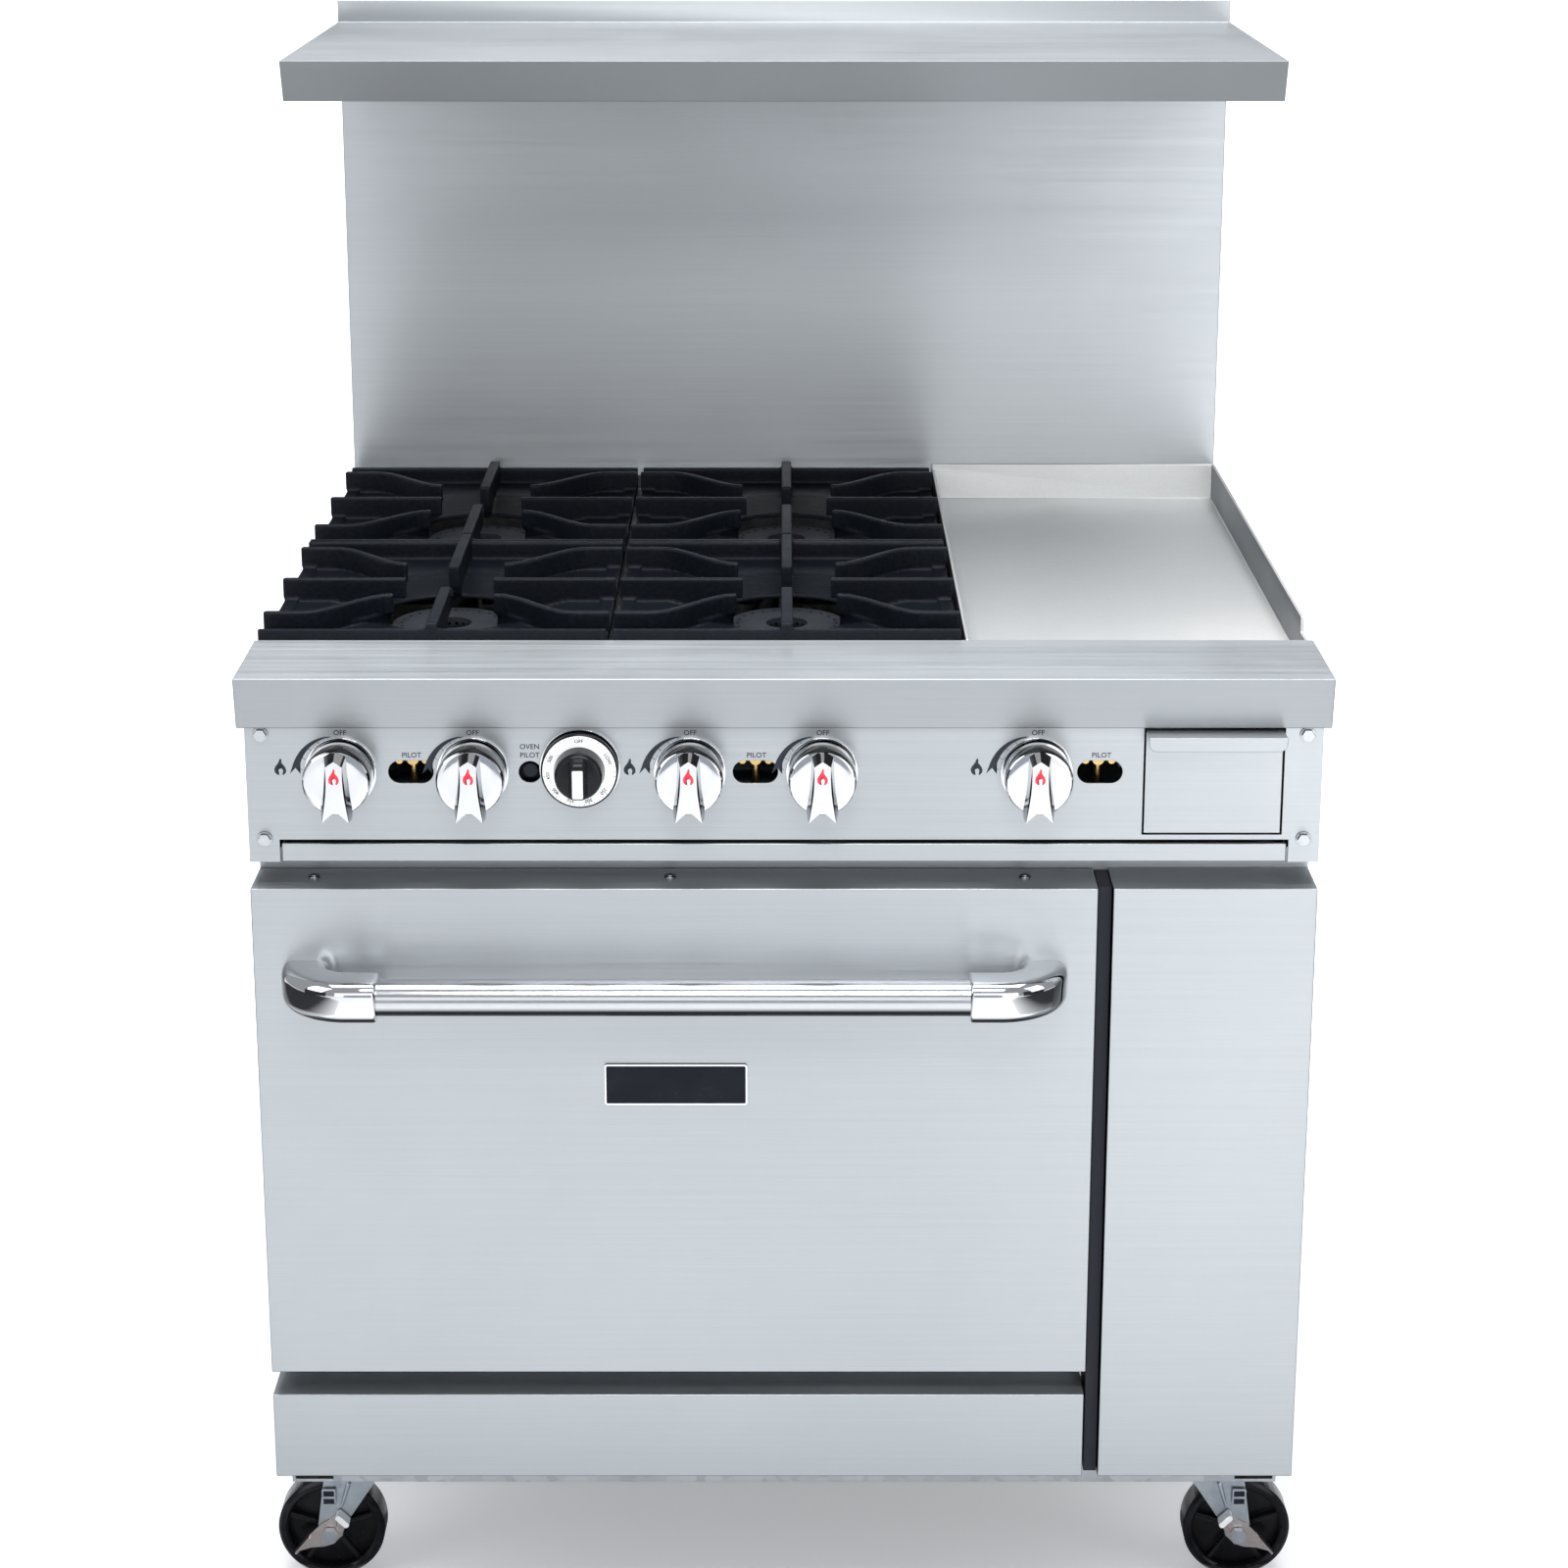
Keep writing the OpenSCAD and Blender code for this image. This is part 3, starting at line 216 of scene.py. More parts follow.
def plated(name, base, rough, tint):
    """Zinc plate: a cloudy passivated colour with darker pits and rubbed edges."""
    s = Shader(name, metallic=1.0)
    cloud = s.noise(70.0, 5.0, 0.6, warp=0.8)
    pits = s.noise(520.0, 2.0, 0.7)
    colour = s.mix(s.ramp(cloud, 0.35, 0.7), base, tint)
    colour = s.mix(s.ramp(pits, 0.62, 0.75, 0.0, 0.35), colour, [c * 0.45 for c in base])
    colour = s.mix(s.maths("MULTIPLY", s.edges(), 0.4), colour, [min(1, c * 1.15) for c in base])
    return s.to(
        Base_Color=colour,
        Roughness=s.ramp(cloud, 0.3, 0.7, rough, rough + 0.14),
        Normal=s.bump(pits, 0.12, 0.0004),
    )


def spangled(name, base, dark_in_front_of=None):
    """Hot-dip galvanised sheet with its crystal pattern, darkened almost to black in front of a plane across
    y when one is given.
    """
    s = Shader(name, metallic=1.0)
    cells = s.add("TexVoronoi", {"Vector": s.coords, "Scale": 95.0, "Randomness": 1.0})
    shade = s.ramp(cells.outputs["Color"], 0.1, 0.9)
    colour = s.mix(shade, [c * 0.82 for c in base], [min(1, c * 1.12) for c in base])
    colour = s.mix(s.ramp(s.noise(6.0, 5.0, 0.6), 0.45, 0.75, 0.0, 0.3), colour, [c * 0.8 for c in base])
    # In front of the given plane across y the sheet is darkened almost to black.
    if dark_in_front_of is not None:
        depth = s.add("SeparateXYZ", {"Vector": s.coords}).outputs["Y"]
        colour = s.mix(s.ramp(depth, dark_in_front_of, dark_in_front_of - 0.002), colour, [c * 0.05 for c in base])
    return s.to(
        Base_Color=colour,
        Roughness=s.ramp(shade, 0.0, 1.0, 0.34, 0.52),
        Normal=s.bump(s.noise(420.0, 2.0), 0.08, 0.0003),
    )


def ground(name, base):
    """Griddle plate: surface-ground steel with swirls, burnished paths and a little heat tint."""
    s = Shader(name, metallic=0.72)
    swirl = s.noise(1.0, 3.0, 0.6, stretch=(150.0, 420.0, 420.0), warp=2.4)
    hair = s.noise(1.0, 2.0, 0.6, stretch=(60.0, 1900.0, 900.0), warp=0.8)
    cloud = s.noise(5.0, 5.0, 0.62, warp=0.8)
    colour = s.mix(s.ramp(swirl, 0.35, 0.65), [c * 0.94 for c in base], base)
    colour = s.mix(s.ramp(cloud, 0.45, 0.8, 0.0, 0.25), colour, (0.66, 0.62, 0.55))
    rough = s.maths("ADD", s.ramp(hair, 0.3, 0.7, 0.44, 0.54), s.ramp(cloud, 0.3, 0.7, -0.03, 0.05))
    normal = s.add("NewGeometry").outputs["Normal"]
    sideways = s.maths("ABSOLUTE", s.add("SeparateXYZ", {"Vector": normal}).outputs["X"])
    wall = s.ramp(sideways, 0.7, 0.95)
    colour = s.mix(wall, colour, (0.15, 0.16, 0.175))
    rough = s.maths("SUBTRACT", rough, s.maths("MULTIPLY", wall, 0.14))
    s.links.new(s.ramp(wall, 0.0, 1.0, 0.72, 1.0), s.bsdf.inputs["Metallic"])
    return s.to(Base_Color=colour, Roughness=rough, Normal=s.bump(hair, 0.1, 0.0002))


def cast(name, base, light, rough, gloss=0.5):
    """Sand-cast iron: a fine sandy skin, shallow dimples and edges rubbed paler."""
    s = Shader(name, Specular_IOR_Level=gloss)
    sand = s.noise(1500.0, 3.0, 0.7)
    lumps = s.noise(240.0, 4.0, 0.6)
    cloud = s.noise(16.0, 4.0, 0.6)
    colour = s.mix(s.ramp(lumps, 0.35, 0.7), base, light)
    colour = s.mix(s.ramp(cloud, 0.4, 0.75, 0.0, 0.35), colour, [c * 0.6 for c in base])
    colour = s.mix(s.maths("MULTIPLY", s.edges(0.51, 0.58), 0.45), colour, [c * 1.9 + 0.004 for c in light])
    roughness = s.maths(
        "ADD", s.ramp(sand, 0.3, 0.7, rough - 0.08, rough + 0.08), s.ramp(cloud, 0.3, 0.7, -0.05, 0.05)
    )
    normal = s.bump(sand, 0.5, 0.00035)
    normal = s.bump(lumps, 0.5, 0.0008, normal)
    return s.to(Base_Color=colour, Roughness=roughness, Normal=normal)


def painted(name, base, rough, coat=0.0, speck=None, gloss=0.5):
    """Sprayed paint or enamel with orange peel, dust and, where given, pale specks."""
    s = Shader(name, Coat_Weight=coat, Coat_Roughness=0.1, Specular_IOR_Level=gloss)
    peel = s.noise(420.0, 2.0, 0.5)
    cloud = s.noise(14.0, 4.0, 0.6)
    colour = s.mix(s.ramp(cloud, 0.35, 0.75), base, [c * 1.35 + 0.004 for c in base])
    if speck:
        cells = s.add("TexVoronoi", {"Vector": s.coords, "Scale": 460.0}).outputs["Distance"]
        colour = s.mix(s.ramp(cells, 0.22, 0.12), colour, speck)
    colour = s.mix(s.maths("MULTIPLY", s.edges(), 0.3), colour, [c * 2 + 0.02 for c in base])
    return s.to(
        Base_Color=colour,
        Roughness=s.ramp(cloud, 0.3, 0.7, rough - 0.06, rough + 0.08),
        Normal=s.bump(peel, 0.1, 0.0004),
    )


def moulded(name, base, rough, grain=0.12, sheen=0.5):
    """Moulded plastic: fine mould texture, flow haze and edges rubbed a little brighter."""
    s = Shader(name, Specular_IOR_Level=sheen)
    fine = s.noise(1300.0, 2.0, 0.6)
    cloud = s.noise(30.0, 4.0, 0.6, warp=0.5)
    colour = s.mix(s.ramp(cloud, 0.35, 0.75), base, [c * 1.4 + 0.003 for c in base])
    colour = s.mix(s.maths("MULTIPLY", s.edges(), 0.35), colour, [c * 2.2 + 0.015 for c in base])
    return s.to(
        Base_Color=colour,
        Roughness=s.ramp(cloud, 0.3, 0.7, rough - 0.05, rough + 0.1),
        Normal=s.bump(fine, grain, 0.0003),
    )


def screw_head(name, face, side):
    """A plated screw head: turned rings on its face, and its side wall painted dark, painted shade."""
    s = Shader(name, metallic=1.0)
    cloud = s.noise(260.0, 3.0, 0.6)
    # Painted shade: faces not turned to the front take the dark side colour.
    colour = s.mix(s.facing((0, -1, 0), 0.72, 0.94), side, face)
    colour = s.mix(s.ramp(cloud, 0.5, 0.8, 0.0, 0.3), colour, [c * 0.7 for c in face])
    return s.to(
        Base_Color=colour,
        Roughness=s.ramp(cloud, 0.3, 0.7, 0.24, 0.36),
        Normal=s.bump(s.noise(1400.0, 2.0), 0.08, 0.0002),
    )


def wool(name, base):
    s = Shader(name, Sheen_Weight=0.5, Sheen_Roughness=0.6)
    fibres = s.noise(1.0, 5.0, 0.7, stretch=(260.0, 900.0, 260.0), warp=2.0)
    tufts = s.noise(34.0, 4.0, 0.6)
    colour = s.mix(s.ramp(fibres, 0.35, 0.7), [c * 0.75 for c in base], base)
    colour = s.mix(s.ramp(tufts, 0.4, 0.7, 0.0, 0.4), colour, [c * 0.85 for c in base])
    return s.to(
        Base_Color=colour,
        Roughness=s.ramp(tufts, 0.3, 0.7, 0.85, 0.98),
        Normal=s.bump(s.maths("ADD", fibres, tufts), 0.6, 0.002),
    )


STEEL = (0.435, 0.460, 0.480)
FINISHES = {
    "stainless": brushed("stainless_sheet", STEEL, 0.36),
    "galvanised": spangled("galvanised_sheet", (0.50, 0.52, 0.54)),
    "griddle_steel": ground("griddle_plate_steel", (0.76, 0.77, 0.775)),
    "chrome": polished("chrome_plate", (0.78, 0.79, 0.81), 0.045),
    "zinc": plated("zinc_plate", (0.55, 0.60, 0.66), 0.26, (0.66, 0.70, 0.74)),
    "brake_zinc": plated("passivated_zinc", (0.66, 0.54, 0.52), 0.25, (0.70, 0.66, 0.62)),
    "cast_iron": cast("cast_iron_black", (0.0025, 0.0038, 0.007), (0.006, 0.0085, 0.014), 0.44, gloss=0.17),
    "burner_iron": cast("cast_iron_grey", (0.007, 0.009, 0.012), (0.018, 0.020, 0.025), 0.55, gloss=0.2),
    "black_steel": painted("black_paint", (0.006, 0.008, 0.014), 0.42, gloss=0.2),
    "enamel": painted("speckled_enamel", (0.028, 0.032, 0.042), 0.22, 0.6, (0.35, 0.37, 0.40)),
    "wool": wool("mineral_wool", (0.62, 0.53, 0.27)),
    "brass": polished("machined_brass", (0.72, 0.50, 0.20), 0.2, 0.14),
    "black_plastic": moulded("black_phenolic", (0.004, 0.004, 0.006), 0.20, sheen=0.22),
    "aluminium": polished("aluminium_tube", (0.72, 0.73, 0.75), 0.28, 0.12),
    "badge": moulded("badge_black", (0.003, 0.005, 0.009), 0.20, 0.04, sheen=0.12),
}
DEEP_STEEL = brushed("stainless_sides", STEEL, 0.34, along="y")
# The ledge's stainless with its top faces painted lighter, painted light.
LEDGE_STEEL_LIT_TOP = brushed("stainless_ledge_painted_top_light", STEEL, 0.36, painted_top_light=1.32)
# Painted shade and painted dark reflection on the handle bar's and elbows' undersides and on the knobs' top
# faces.
SATIN_CHROME = polished("handle_bar_chrome", (0.52, 0.53, 0.55), 0.17, smudge=0.04, painted_shade_side=(0, -0.1, -1))
HANDLE_CHROME = polished("handle_elbow_chrome", (0.66, 0.67, 0.69), 0.04, painted_shade_side=(0, -0.12, -1))
KNOB_CHROME = polished("knob_chrome", (0.70, 0.71, 0.73), 0.05, painted_shade_side=(0.35, 0, 1))
SCREW_HEAD_SHADED_SIDE = screw_head("screw_head_zinc", (0.56, 0.585, 0.61), (0.07, 0.08, 0.10))
INK = moulded("printed_ink_grey", (0.016, 0.020, 0.028), 0.5, sheen=0.2)
DARK_INK = moulded("printed_ink_black", (0.012, 0.012, 0.014), 0.5)
RED = moulded("flame_red", (0.62, 0.012, 0.035), 0.32)
DIAL_WHITE = moulded("dial_face_pale", (0.72, 0.73, 0.74), 0.38)
TOE_WHITE = moulded("toe_pad_white", (0.62, 0.64, 0.66), 0.45)


# ---------- mesh helpers ----------


def piece(name, mesh, body, material, replaces=(), place=None, bevel=None, angle=32.0):
    """A finished object: its mesh shaded smooth below an angle, edges eased, riding on its body."""
    if isinstance(mesh, bmesh.types.BMesh):
        data = bpy.data.meshes.new(name)
        bmesh.ops.recalc_face_normals(mesh, faces=mesh.faces)
        mesh.to_mesh(data)
        mesh.free()
        mesh = data
    if not mesh.materials:
        mesh.materials.append(material)
    for polygon in mesh.polygons:
        polygon.use_smooth = True
    mesh.set_sharp_from_angle(angle=math.radians(angle))
    thing = bpy.data.objects.new(name, mesh)
    bpy.context.scene.collection.objects.link(thing)
    if place is not None:
        thing.matrix_world = Matrix.Translation(place)
    if bevel:
        edge = thing.modifiers.new("edge", "BEVEL")
        edge.width = bevel * MM
        edge.segments = 3
        edge.limit_method = "ANGLE"
        edge.angle_limit = math.radians(angle)
        edge.harden_normals = True
        edge.use_clamp_overlap = True
    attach(thing, body)
    if replaces:
        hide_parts(*replaces)
    return thing


def from_node(node):
    """A CAD node's mesh as a bmesh, with its seams closed and its flat faces whole."""
    bm = bmesh.new()
    bm.from_mesh(NODES[node].data)
    bmesh.ops.remove_doubles(bm, verts=bm.verts, dist=2e-6)
    bmesh.ops.dissolve_limit(
        bm, angle_limit=math.radians(FLAT_ANGLE), verts=bm.verts, edges=bm.edges, delimit={"NORMAL"}
    )
    return bm


def eased(node, width, material=None):
    """The node's own shape with the small radius that its edges really have."""
    slot = SLOT_OF[node]
    return piece(
        node + "_eased",
        from_node(node),
        BODY_OF[node],
        material or FINISHES[slot],
        replaces=[node],
        bevel=width,
    )


def prism(bm, points, y_front, y_back, shrink=None):
    """An outline in (x, z) millimetres drawn from y_back to y_front, or to another outline in front."""
    front = shrink or points
    a = [bm.verts.new((x * MM, y_front * MM, z * MM)) for x, z in front]
    b = [bm.verts.new((x * MM, y_back * MM, z * MM)) for x, z in points]
    count = len(points)
    for k in range(count):
        n = (k + 1) % count
        bm.faces.new((a[k], a[n], b[n], b[k]))
    caps = [bm.faces.new(a), bm.faces.new(list(reversed(b)))]
    bmesh.ops.triangulate(bm, faces=caps)
    return bm


def lathe(bm, profile, steps=96):
    """Revolves (radius, along) points in millimetres about the y axis."""
    rings = []
    for r, t in profile:
        ring = []
        for k in range(steps if r > 1e-6 else 1):
            c, s = math.cos(2 * math.pi * k / steps) * r, math.sin(2 * math.pi * k / steps) * r
            ring.append(bm.verts.new(Vector((c, t, s)) * MM))
        rings.append(ring)
    for a, b in zip(rings, rings[1:]):
        for k in range(steps):
            corners = [a[k % len(a)], a[(k + 1) % len(a)], b[(k + 1) % len(b)], b[k % len(b)]]
            corners = [v for i, v in enumerate(corners) if v not in corners[:i]]
            if len(corners) > 2:
                bm.faces.new(corners)
    return bm


def mirrored(half):
    """Closes a half outline that runs down the right side, from the top centre to the bottom centre."""
    return half + [(-x, z) for x, z in reversed(half[1:-1])]


def rounded(w, h, r, steps=6, centre=(0, 0)):
    points = []
    for cx, cz, start in ((1, 1, 0), (-1, 1, 90), (-1, -1, 180), (1, -1, 270)):
        for k in range(steps + 1):
            a = math.radians(start + 90 * k / steps)
            points.append((
                centre[0] + cx * (w / 2 - r) + r * math.cos(a),
                centre[1] + cz * (h / 2 - r) + r * math.sin(a),
            ))
    return points


def flame(width, height):
    """A plain drop-shaped flame in two tongues round a pale core."""
    outer = [
        (0.05, 1.0), (0.12, 0.86), (0.10, 0.72), (0.22, 0.60), (0.34, 0.48), (0.42, 0.32), (0.40, 0.16),
        (0.28, 0.04), (0.14, 0.0), (0.22, 0.14), (0.20, 0.28), (0.08, 0.40), (0.0, 0.48), (-0.08, 0.34),
        (-0.18, 0.22), (-0.16, 0.08), (-0.06, 0.0), (-0.24, 0.04), (-0.38, 0.16), (-0.42, 0.34),
        (-0.34, 0.50), (-0.20, 0.64), (-0.10, 0.76), (-0.04, 0.90)
    ]
    return [(x * width, (z - 0.45) * height) for x, z in outer]


LETTER_THICK = 0.06


def lettering(text, size, place, turn=0.0):
    """A line of text as a thin flat mesh in the (x, z) plane, returned as a bmesh in metres."""
    curve = bpy.data.curves.new("line", "FONT")
    curve.body = text
    curve.size = size * MM
    curve.align_x = "CENTER"
    curve.align_y = "CENTER"
    curve.extrude = LETTER_THICK / 2 * MM
    curve.offset = size * 0.012 * MM
    curve.resolution_u = 3
    thing = bpy.data.objects.new("line", curve)
    bpy.context.scene.collection.objects.link(thing)
    bpy.context.view_layer.update()
    mesh = bpy.data.meshes.new_from_object(thing.evaluated_get(bpy.context.evaluated_depsgraph_get()))
    upright = Matrix.Translation(place) @ Matrix.Rotation(turn, 4, "Y") @ Matrix.Rotation(math.pi / 2, 4, "X")
    mesh.transform(upright)
    bpy.data.objects.remove(thing)
    bpy.data.curves.remove(curve)
    return mesh


def join(bm, mesh):
    bm.from_mesh(mesh)
    bpy.data.meshes.remove(mesh)


# ---------- sheet metal and the parts that keep their CAD shape ----------

SHEET_EDGE = 0.9
eased("front_ledge", SHEET_EDGE, LEDGE_STEEL_LIT_TOP)
for node in ("control_panel", "kick_panel", "right_front_cover", "front_frame",
             "high_shelf", "backsplash", "door_skin", "crumb_tray", "grease_drawer"):
    eased(node, SHEET_EDGE)
for node in ("left_side_panel", "right_side_panel", "door_liner", "back_panel", "divider_post"):
    eased(node, 0.5, DEEP_STEEL if "side" in node else None)
GRATES_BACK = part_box("grate_rear_left")[1].y
# The cooktop frame is darkened almost to black in front of a plane just behind the rear grates.
eased("cooktop_frame", 0.5, spangled("cooktop_galvanised", (0.50, 0.52, 0.54), dark_in_front_of=GRATES_BACK + 0.0005))
eased("griddle", 1.2)
for node in ("base_frame", "caster_plates", "oven_floor", "grease_chute", "door_hinge_pins", "knob_bezels",
             "door_badge"):
    eased(node, 0.4)
for node in ("panel_screws", "door_screws"):
    eased(node, 0.4, SCREW_HEAD_SHADED_SIDE)
for node in ("fork_front_left", "fork_front_right", "fork_rear_left", "fork_rear_right",
             "brake_left", "brake_right"):
    eased(node, 0.5)
for node in ("wheel_front_left", "wheel_front_right", "wheel_rear_left", "wheel_rear_right"):
    eased(node, 0.9)
for node in ("oven_liner", "oven_insulation", "rack_guides", "oven_burner", "top_burners", "gas_manifold",
             "gas_valves", "oven_controls", "pilot_tubes", "griddle_burner", "door_insulation",
             "oven_rack"):
    thing = NODES[node]
    thing.data.materials.clear()
    thing.data.materials.append(FINISHES[SLOT_OF[node]])


NUT_PROUD = 9.4  # how far the axle nut stands out from the fork's leg


def fork_pressing(side, sign):
    """The leg's raised frame of two windows and the rib beside it, about the axle, facing sign * y."""
    bm = bmesh.new()
    for low, high, left, right, proud in (
        (30.0, 31.6, -6.5, 6.5, 1.1), (37.2, 39.6, -6.5, 6.5, 1.5), (45.0, 46.6, -6.5, 6.5, 1.1),
        (31.4, 45.2, -6.5, -5.0, 1.1), (31.4, 45.2, 5.0, 6.5, 1.1)
    ):
        corners = [(left, low), (right, low), (right, high), (left, high)]
        prism(bm, [(-side * x, z) for x, z in corners], -proud, 0.3)
    rib = [(10.0, 27.0), (13.0, 27.6), (21.5, 54.0), (19.0, 55.5), (16.5, 54.5)]
    inner = [(11.0, 29.0), (12.4, 29.4), (20.2, 52.8), (18.9, 53.6), (17.6, 53.0)]
    prism(bm, [(-side * x, z) for x, z in rib], -2.2, 0.3, [(-side * x, z) for x, z in inner])
    bmesh.ops.scale(bm, verts=bm.verts, vec=(1, -sign, 1))
    return bm


# Pressed windows and a rolled rib on both legs of each caster fork, and black plates in the windows as
# painted shade
for end in ("front", "rear"):
    for side, word in ((-1, "left"), (1, "right")):
        node = f"fork_{end}_{word}"
        axle = middle(f"wheel_{end}_{word}")
        nut = (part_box(node)[1].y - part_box(node)[0].y) / 2
        for sign, face in ((-1, "front"), (1, "back")):
            spot = Vector((axle.x, axle.y + sign * (nut - NUT_PROUD * MM), axle.z))
            piece(f"{node}_pressing_{face}", fork_pressing(side, sign), node, FINISHES[SLOT_OF[node]],
                  place=spot, bevel=0.5)
            # Painted shade: black plates fill the windows, where they would show dark.
            dark = prism(bmesh.new(), [(-5.2, 31.2), (5.2, 31.2), (5.2, 45.4), (-5.2, 45.4)], -0.2, 0.2)
            piece(f"{node}_window_painted_shade_{face}", dark, node, FINISHES["black_steel"], place=spot, bevel=0.1)


# White rubber pads on the brake pedals' toes
for side, node in ((-1, "brake_left"), (1, "brake_right")):
    front = (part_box(node)[0].y - Y0) / MM
    turn = math.radians(-45)
    outline = []
    for u, v in rounded(15.0, 5.6, 2.4, 5):
        x = 13.0 + u * math.cos(turn) - v * math.sin(turn)
        z = 18.4 + u * math.sin(turn) + v * math.cos(turn)
        outline.append((-side * x, z))
    pad = prism(bmesh.new(), outline if side < 0 else outline[::-1], front - 1.2, front + 10.5)
    wheel = middle(node.replace("brake", "wheel_front"))
    piece(node + "_pad", pad, node, TOE_WHITE, place=Vector((wheel.x, Y0, wheel.z)), bevel=1.0)


# ---------- cast grates ----------


def cast_grate():
    """One grate's mesh about its own centre: the CAD shape as a skin of fine voxels, with cast edges."""
    centre = middle("grate_front_left")
    bm = from_node("grate_front_left")
    bmesh.ops.translate(bm, verts=bm.verts, vec=-centre)
    data = bpy.data.meshes.new("grate_rough")
    bm.to_mesh(data)
    bm.free()
    thing = bpy.data.objects.new("grate_rough", data)
    bpy.context.scene.collection.objects.link(thing)
    remesh = thing.modifiers.new("voxels", "REMESH")
    remesh.mode = "VOXEL"
    remesh.voxel_size = 1.5 * MM
    thin = thing.modifiers.new("thin", "DECIMATE")
    thin.ratio = 0.45
    bpy.context.view_layer.update()
    mesh = bpy.data.meshes.new_from_object(thing.evaluated_get(bpy.context.evaluated_depsgraph_get()))
    bpy.data.objects.remove(thing)
    mesh.name = "cast_grate"
    return mesh


GRATE = cast_grate()
for node in ("grate_front_left", "grate_front_right", "grate_rear_left", "grate_rear_right"):
    piece(node + "_casting", GRATE, BODY_OF[node], FINISHES["cast_iron"],
          replaces=[node], place=middle(node), angle=60)


# ---------- burner knobs ----------

KNOB_RADIUS, KNOB_BACK, KNOB_FACE, GRIP_FRONT = 28.5, 7.5, -17.5, -27.5


def burner_knob():
    bm = bmesh.new()
    lathe(bm, [
        (0, KNOB_FACE + 0.4), (18, KNOB_FACE + 0.3), (25.4, KNOB_FACE), (26.8, KNOB_FACE + 0.25),
        (27.8, KNOB_FACE + 1.1), (28.3, KNOB_FACE + 2.4), (28.5, KNOB_FACE + 5), (28.5, 5.6), (28.1, 6.9),
        (27.2, KNOB_BACK), (25.5, KNOB_BACK), (25.5, -13), (9, -13), (9, KNOB_BACK), (4.1, KNOB_BACK),
        (4.1, -12), (0, -12)
    ])
    foot = [(0, 27.2), (4.2, 27.0), (9.3, 23.8), (9.6, 16), (9.9, 8), (10.2, 0), (10.9, -7), (12.0, -14),
            (13.4, -21.5), (12.6, -31.0), (6.5, -25.5), (0, -21.0)]
    crown = [(0, 21.8), (3.4, 19.6), (6.9, 17.0), (6.8, 12), (6.8, 6), (7.0, 0), (7.5, -7), (8.4, -14),
             (9.5, -21.0), (11.2, -31.5), (5.6, -26.0), (0, -21.4)]
    grip = bmesh.new()
    prism(grip, mirrored(foot), GRIP_FRONT, KNOB_FACE + 1, mirrored(crown))
    data = bpy.data.meshes.new("grip")
    grip.to_mesh(data)
    grip.free()
    join(bm, data)
    bmesh.ops.recalc_face_normals(bm, faces=bm.faces)
    data = bpy.data.meshes.new("burner_knob")
    bm.to_mesh(data)
    bm.free()
    return data


KNOB = burner_knob()
for k in range(1, 6):
    node = f"knob_{k}"
    centre = middle(node)
    low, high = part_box(node)
    axis_z = high.z - KNOB_RADIUS * MM
    spot = Vector((centre.x, Y0, axis_z))
    piece(node + "_chrome", KNOB, node, KNOB_CHROME, replaces=[node], place=spot,
          bevel=0.7, angle=28)
    outline = [(x - 0.2, z + 8.2) for x, z in flame(10.5, 14.5)]
    mark = prism(bmesh.new(), outline, GRIP_FRONT - 0.12, GRIP_FRONT + 0.1)
    piece(node + "_flame_mark", mark, node, RED, place=spot)


# ---------- oven thermostat ----------

DIAL_BACK, DIAL_FACE = 7.5, 2.5
dial_low, dial_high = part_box("thermostat_knob")
DIAL = Vector(((dial_low.x + dial_high.x) / 2, Y0, (dial_low.z + dial_high.z) / 2))

bm = lathe(bmesh.new(), [
    (19.5, DIAL_FACE + 0.2), (31.4, DIAL_FACE + 0.2), (32.3, DIAL_FACE + 0.8), (32.5, DIAL_FACE + 2),
    (32.5, DIAL_BACK - 0.8), (31.8, DIAL_BACK), (4.1, DIAL_BACK), (4.1, DIAL_BACK - 2), (19.5, DIAL_BACK - 2),
    (19.5, DIAL_FACE + 0.2)
])
piece("thermostat_skirt", bm, "thermostat_knob", FINISHES["black_plastic"], place=DIAL)

bm = lathe(bmesh.new(), [(21.3, DIAL_FACE + 0.25), (21.3, DIAL_FACE - 0.05), (30.6, DIAL_FACE - 0.05),
                         (30.9, DIAL_FACE + 0.25)])
piece("thermostat_scale", bm, "thermostat_knob", DIAL_WHITE, place=DIAL)

bm = lathe(bmesh.new(), [
    (0, -16.6), (15.5, -16.8), (18.4, -16.2), (19.6, -14.6), (20.2, -10), (20.8, -2), (21.2, DIAL_FACE + 0.2),
    (21.2, DIAL_FACE + 2), (0, DIAL_FACE + 2)
])
piece("thermostat_barrel", bm, "thermostat_knob", FINISHES["black_plastic"],
      replaces=["thermostat_knob"], place=DIAL)

bm = bmesh.new()
prism(bm, rounded(16.4, 37.0, 5.0), -20.5, -14.0, rounded(14.2, 33.0, 4.2, centre=(0, -1.2)))
prism(bm, rounded(13.0, 31.0, 3.8, centre=(0, -1.4)), -23.4, -20.4,
      rounded(11.8, 29.0, 3.4, centre=(0, -2.0)))
piece("thermostat_grip", bm, "thermostat_knob", FINISHES["black_plastic"], place=DIAL,
      bevel=0.8)

bm = prism(bmesh.new(), rounded(9.0, 24.5, 1.2, centre=(0, -3.4)), -23.9, -22.9)
piece("thermostat_pointer", bm, "thermostat_knob", FINISHES["chrome"], place=DIAL, bevel=0.3)

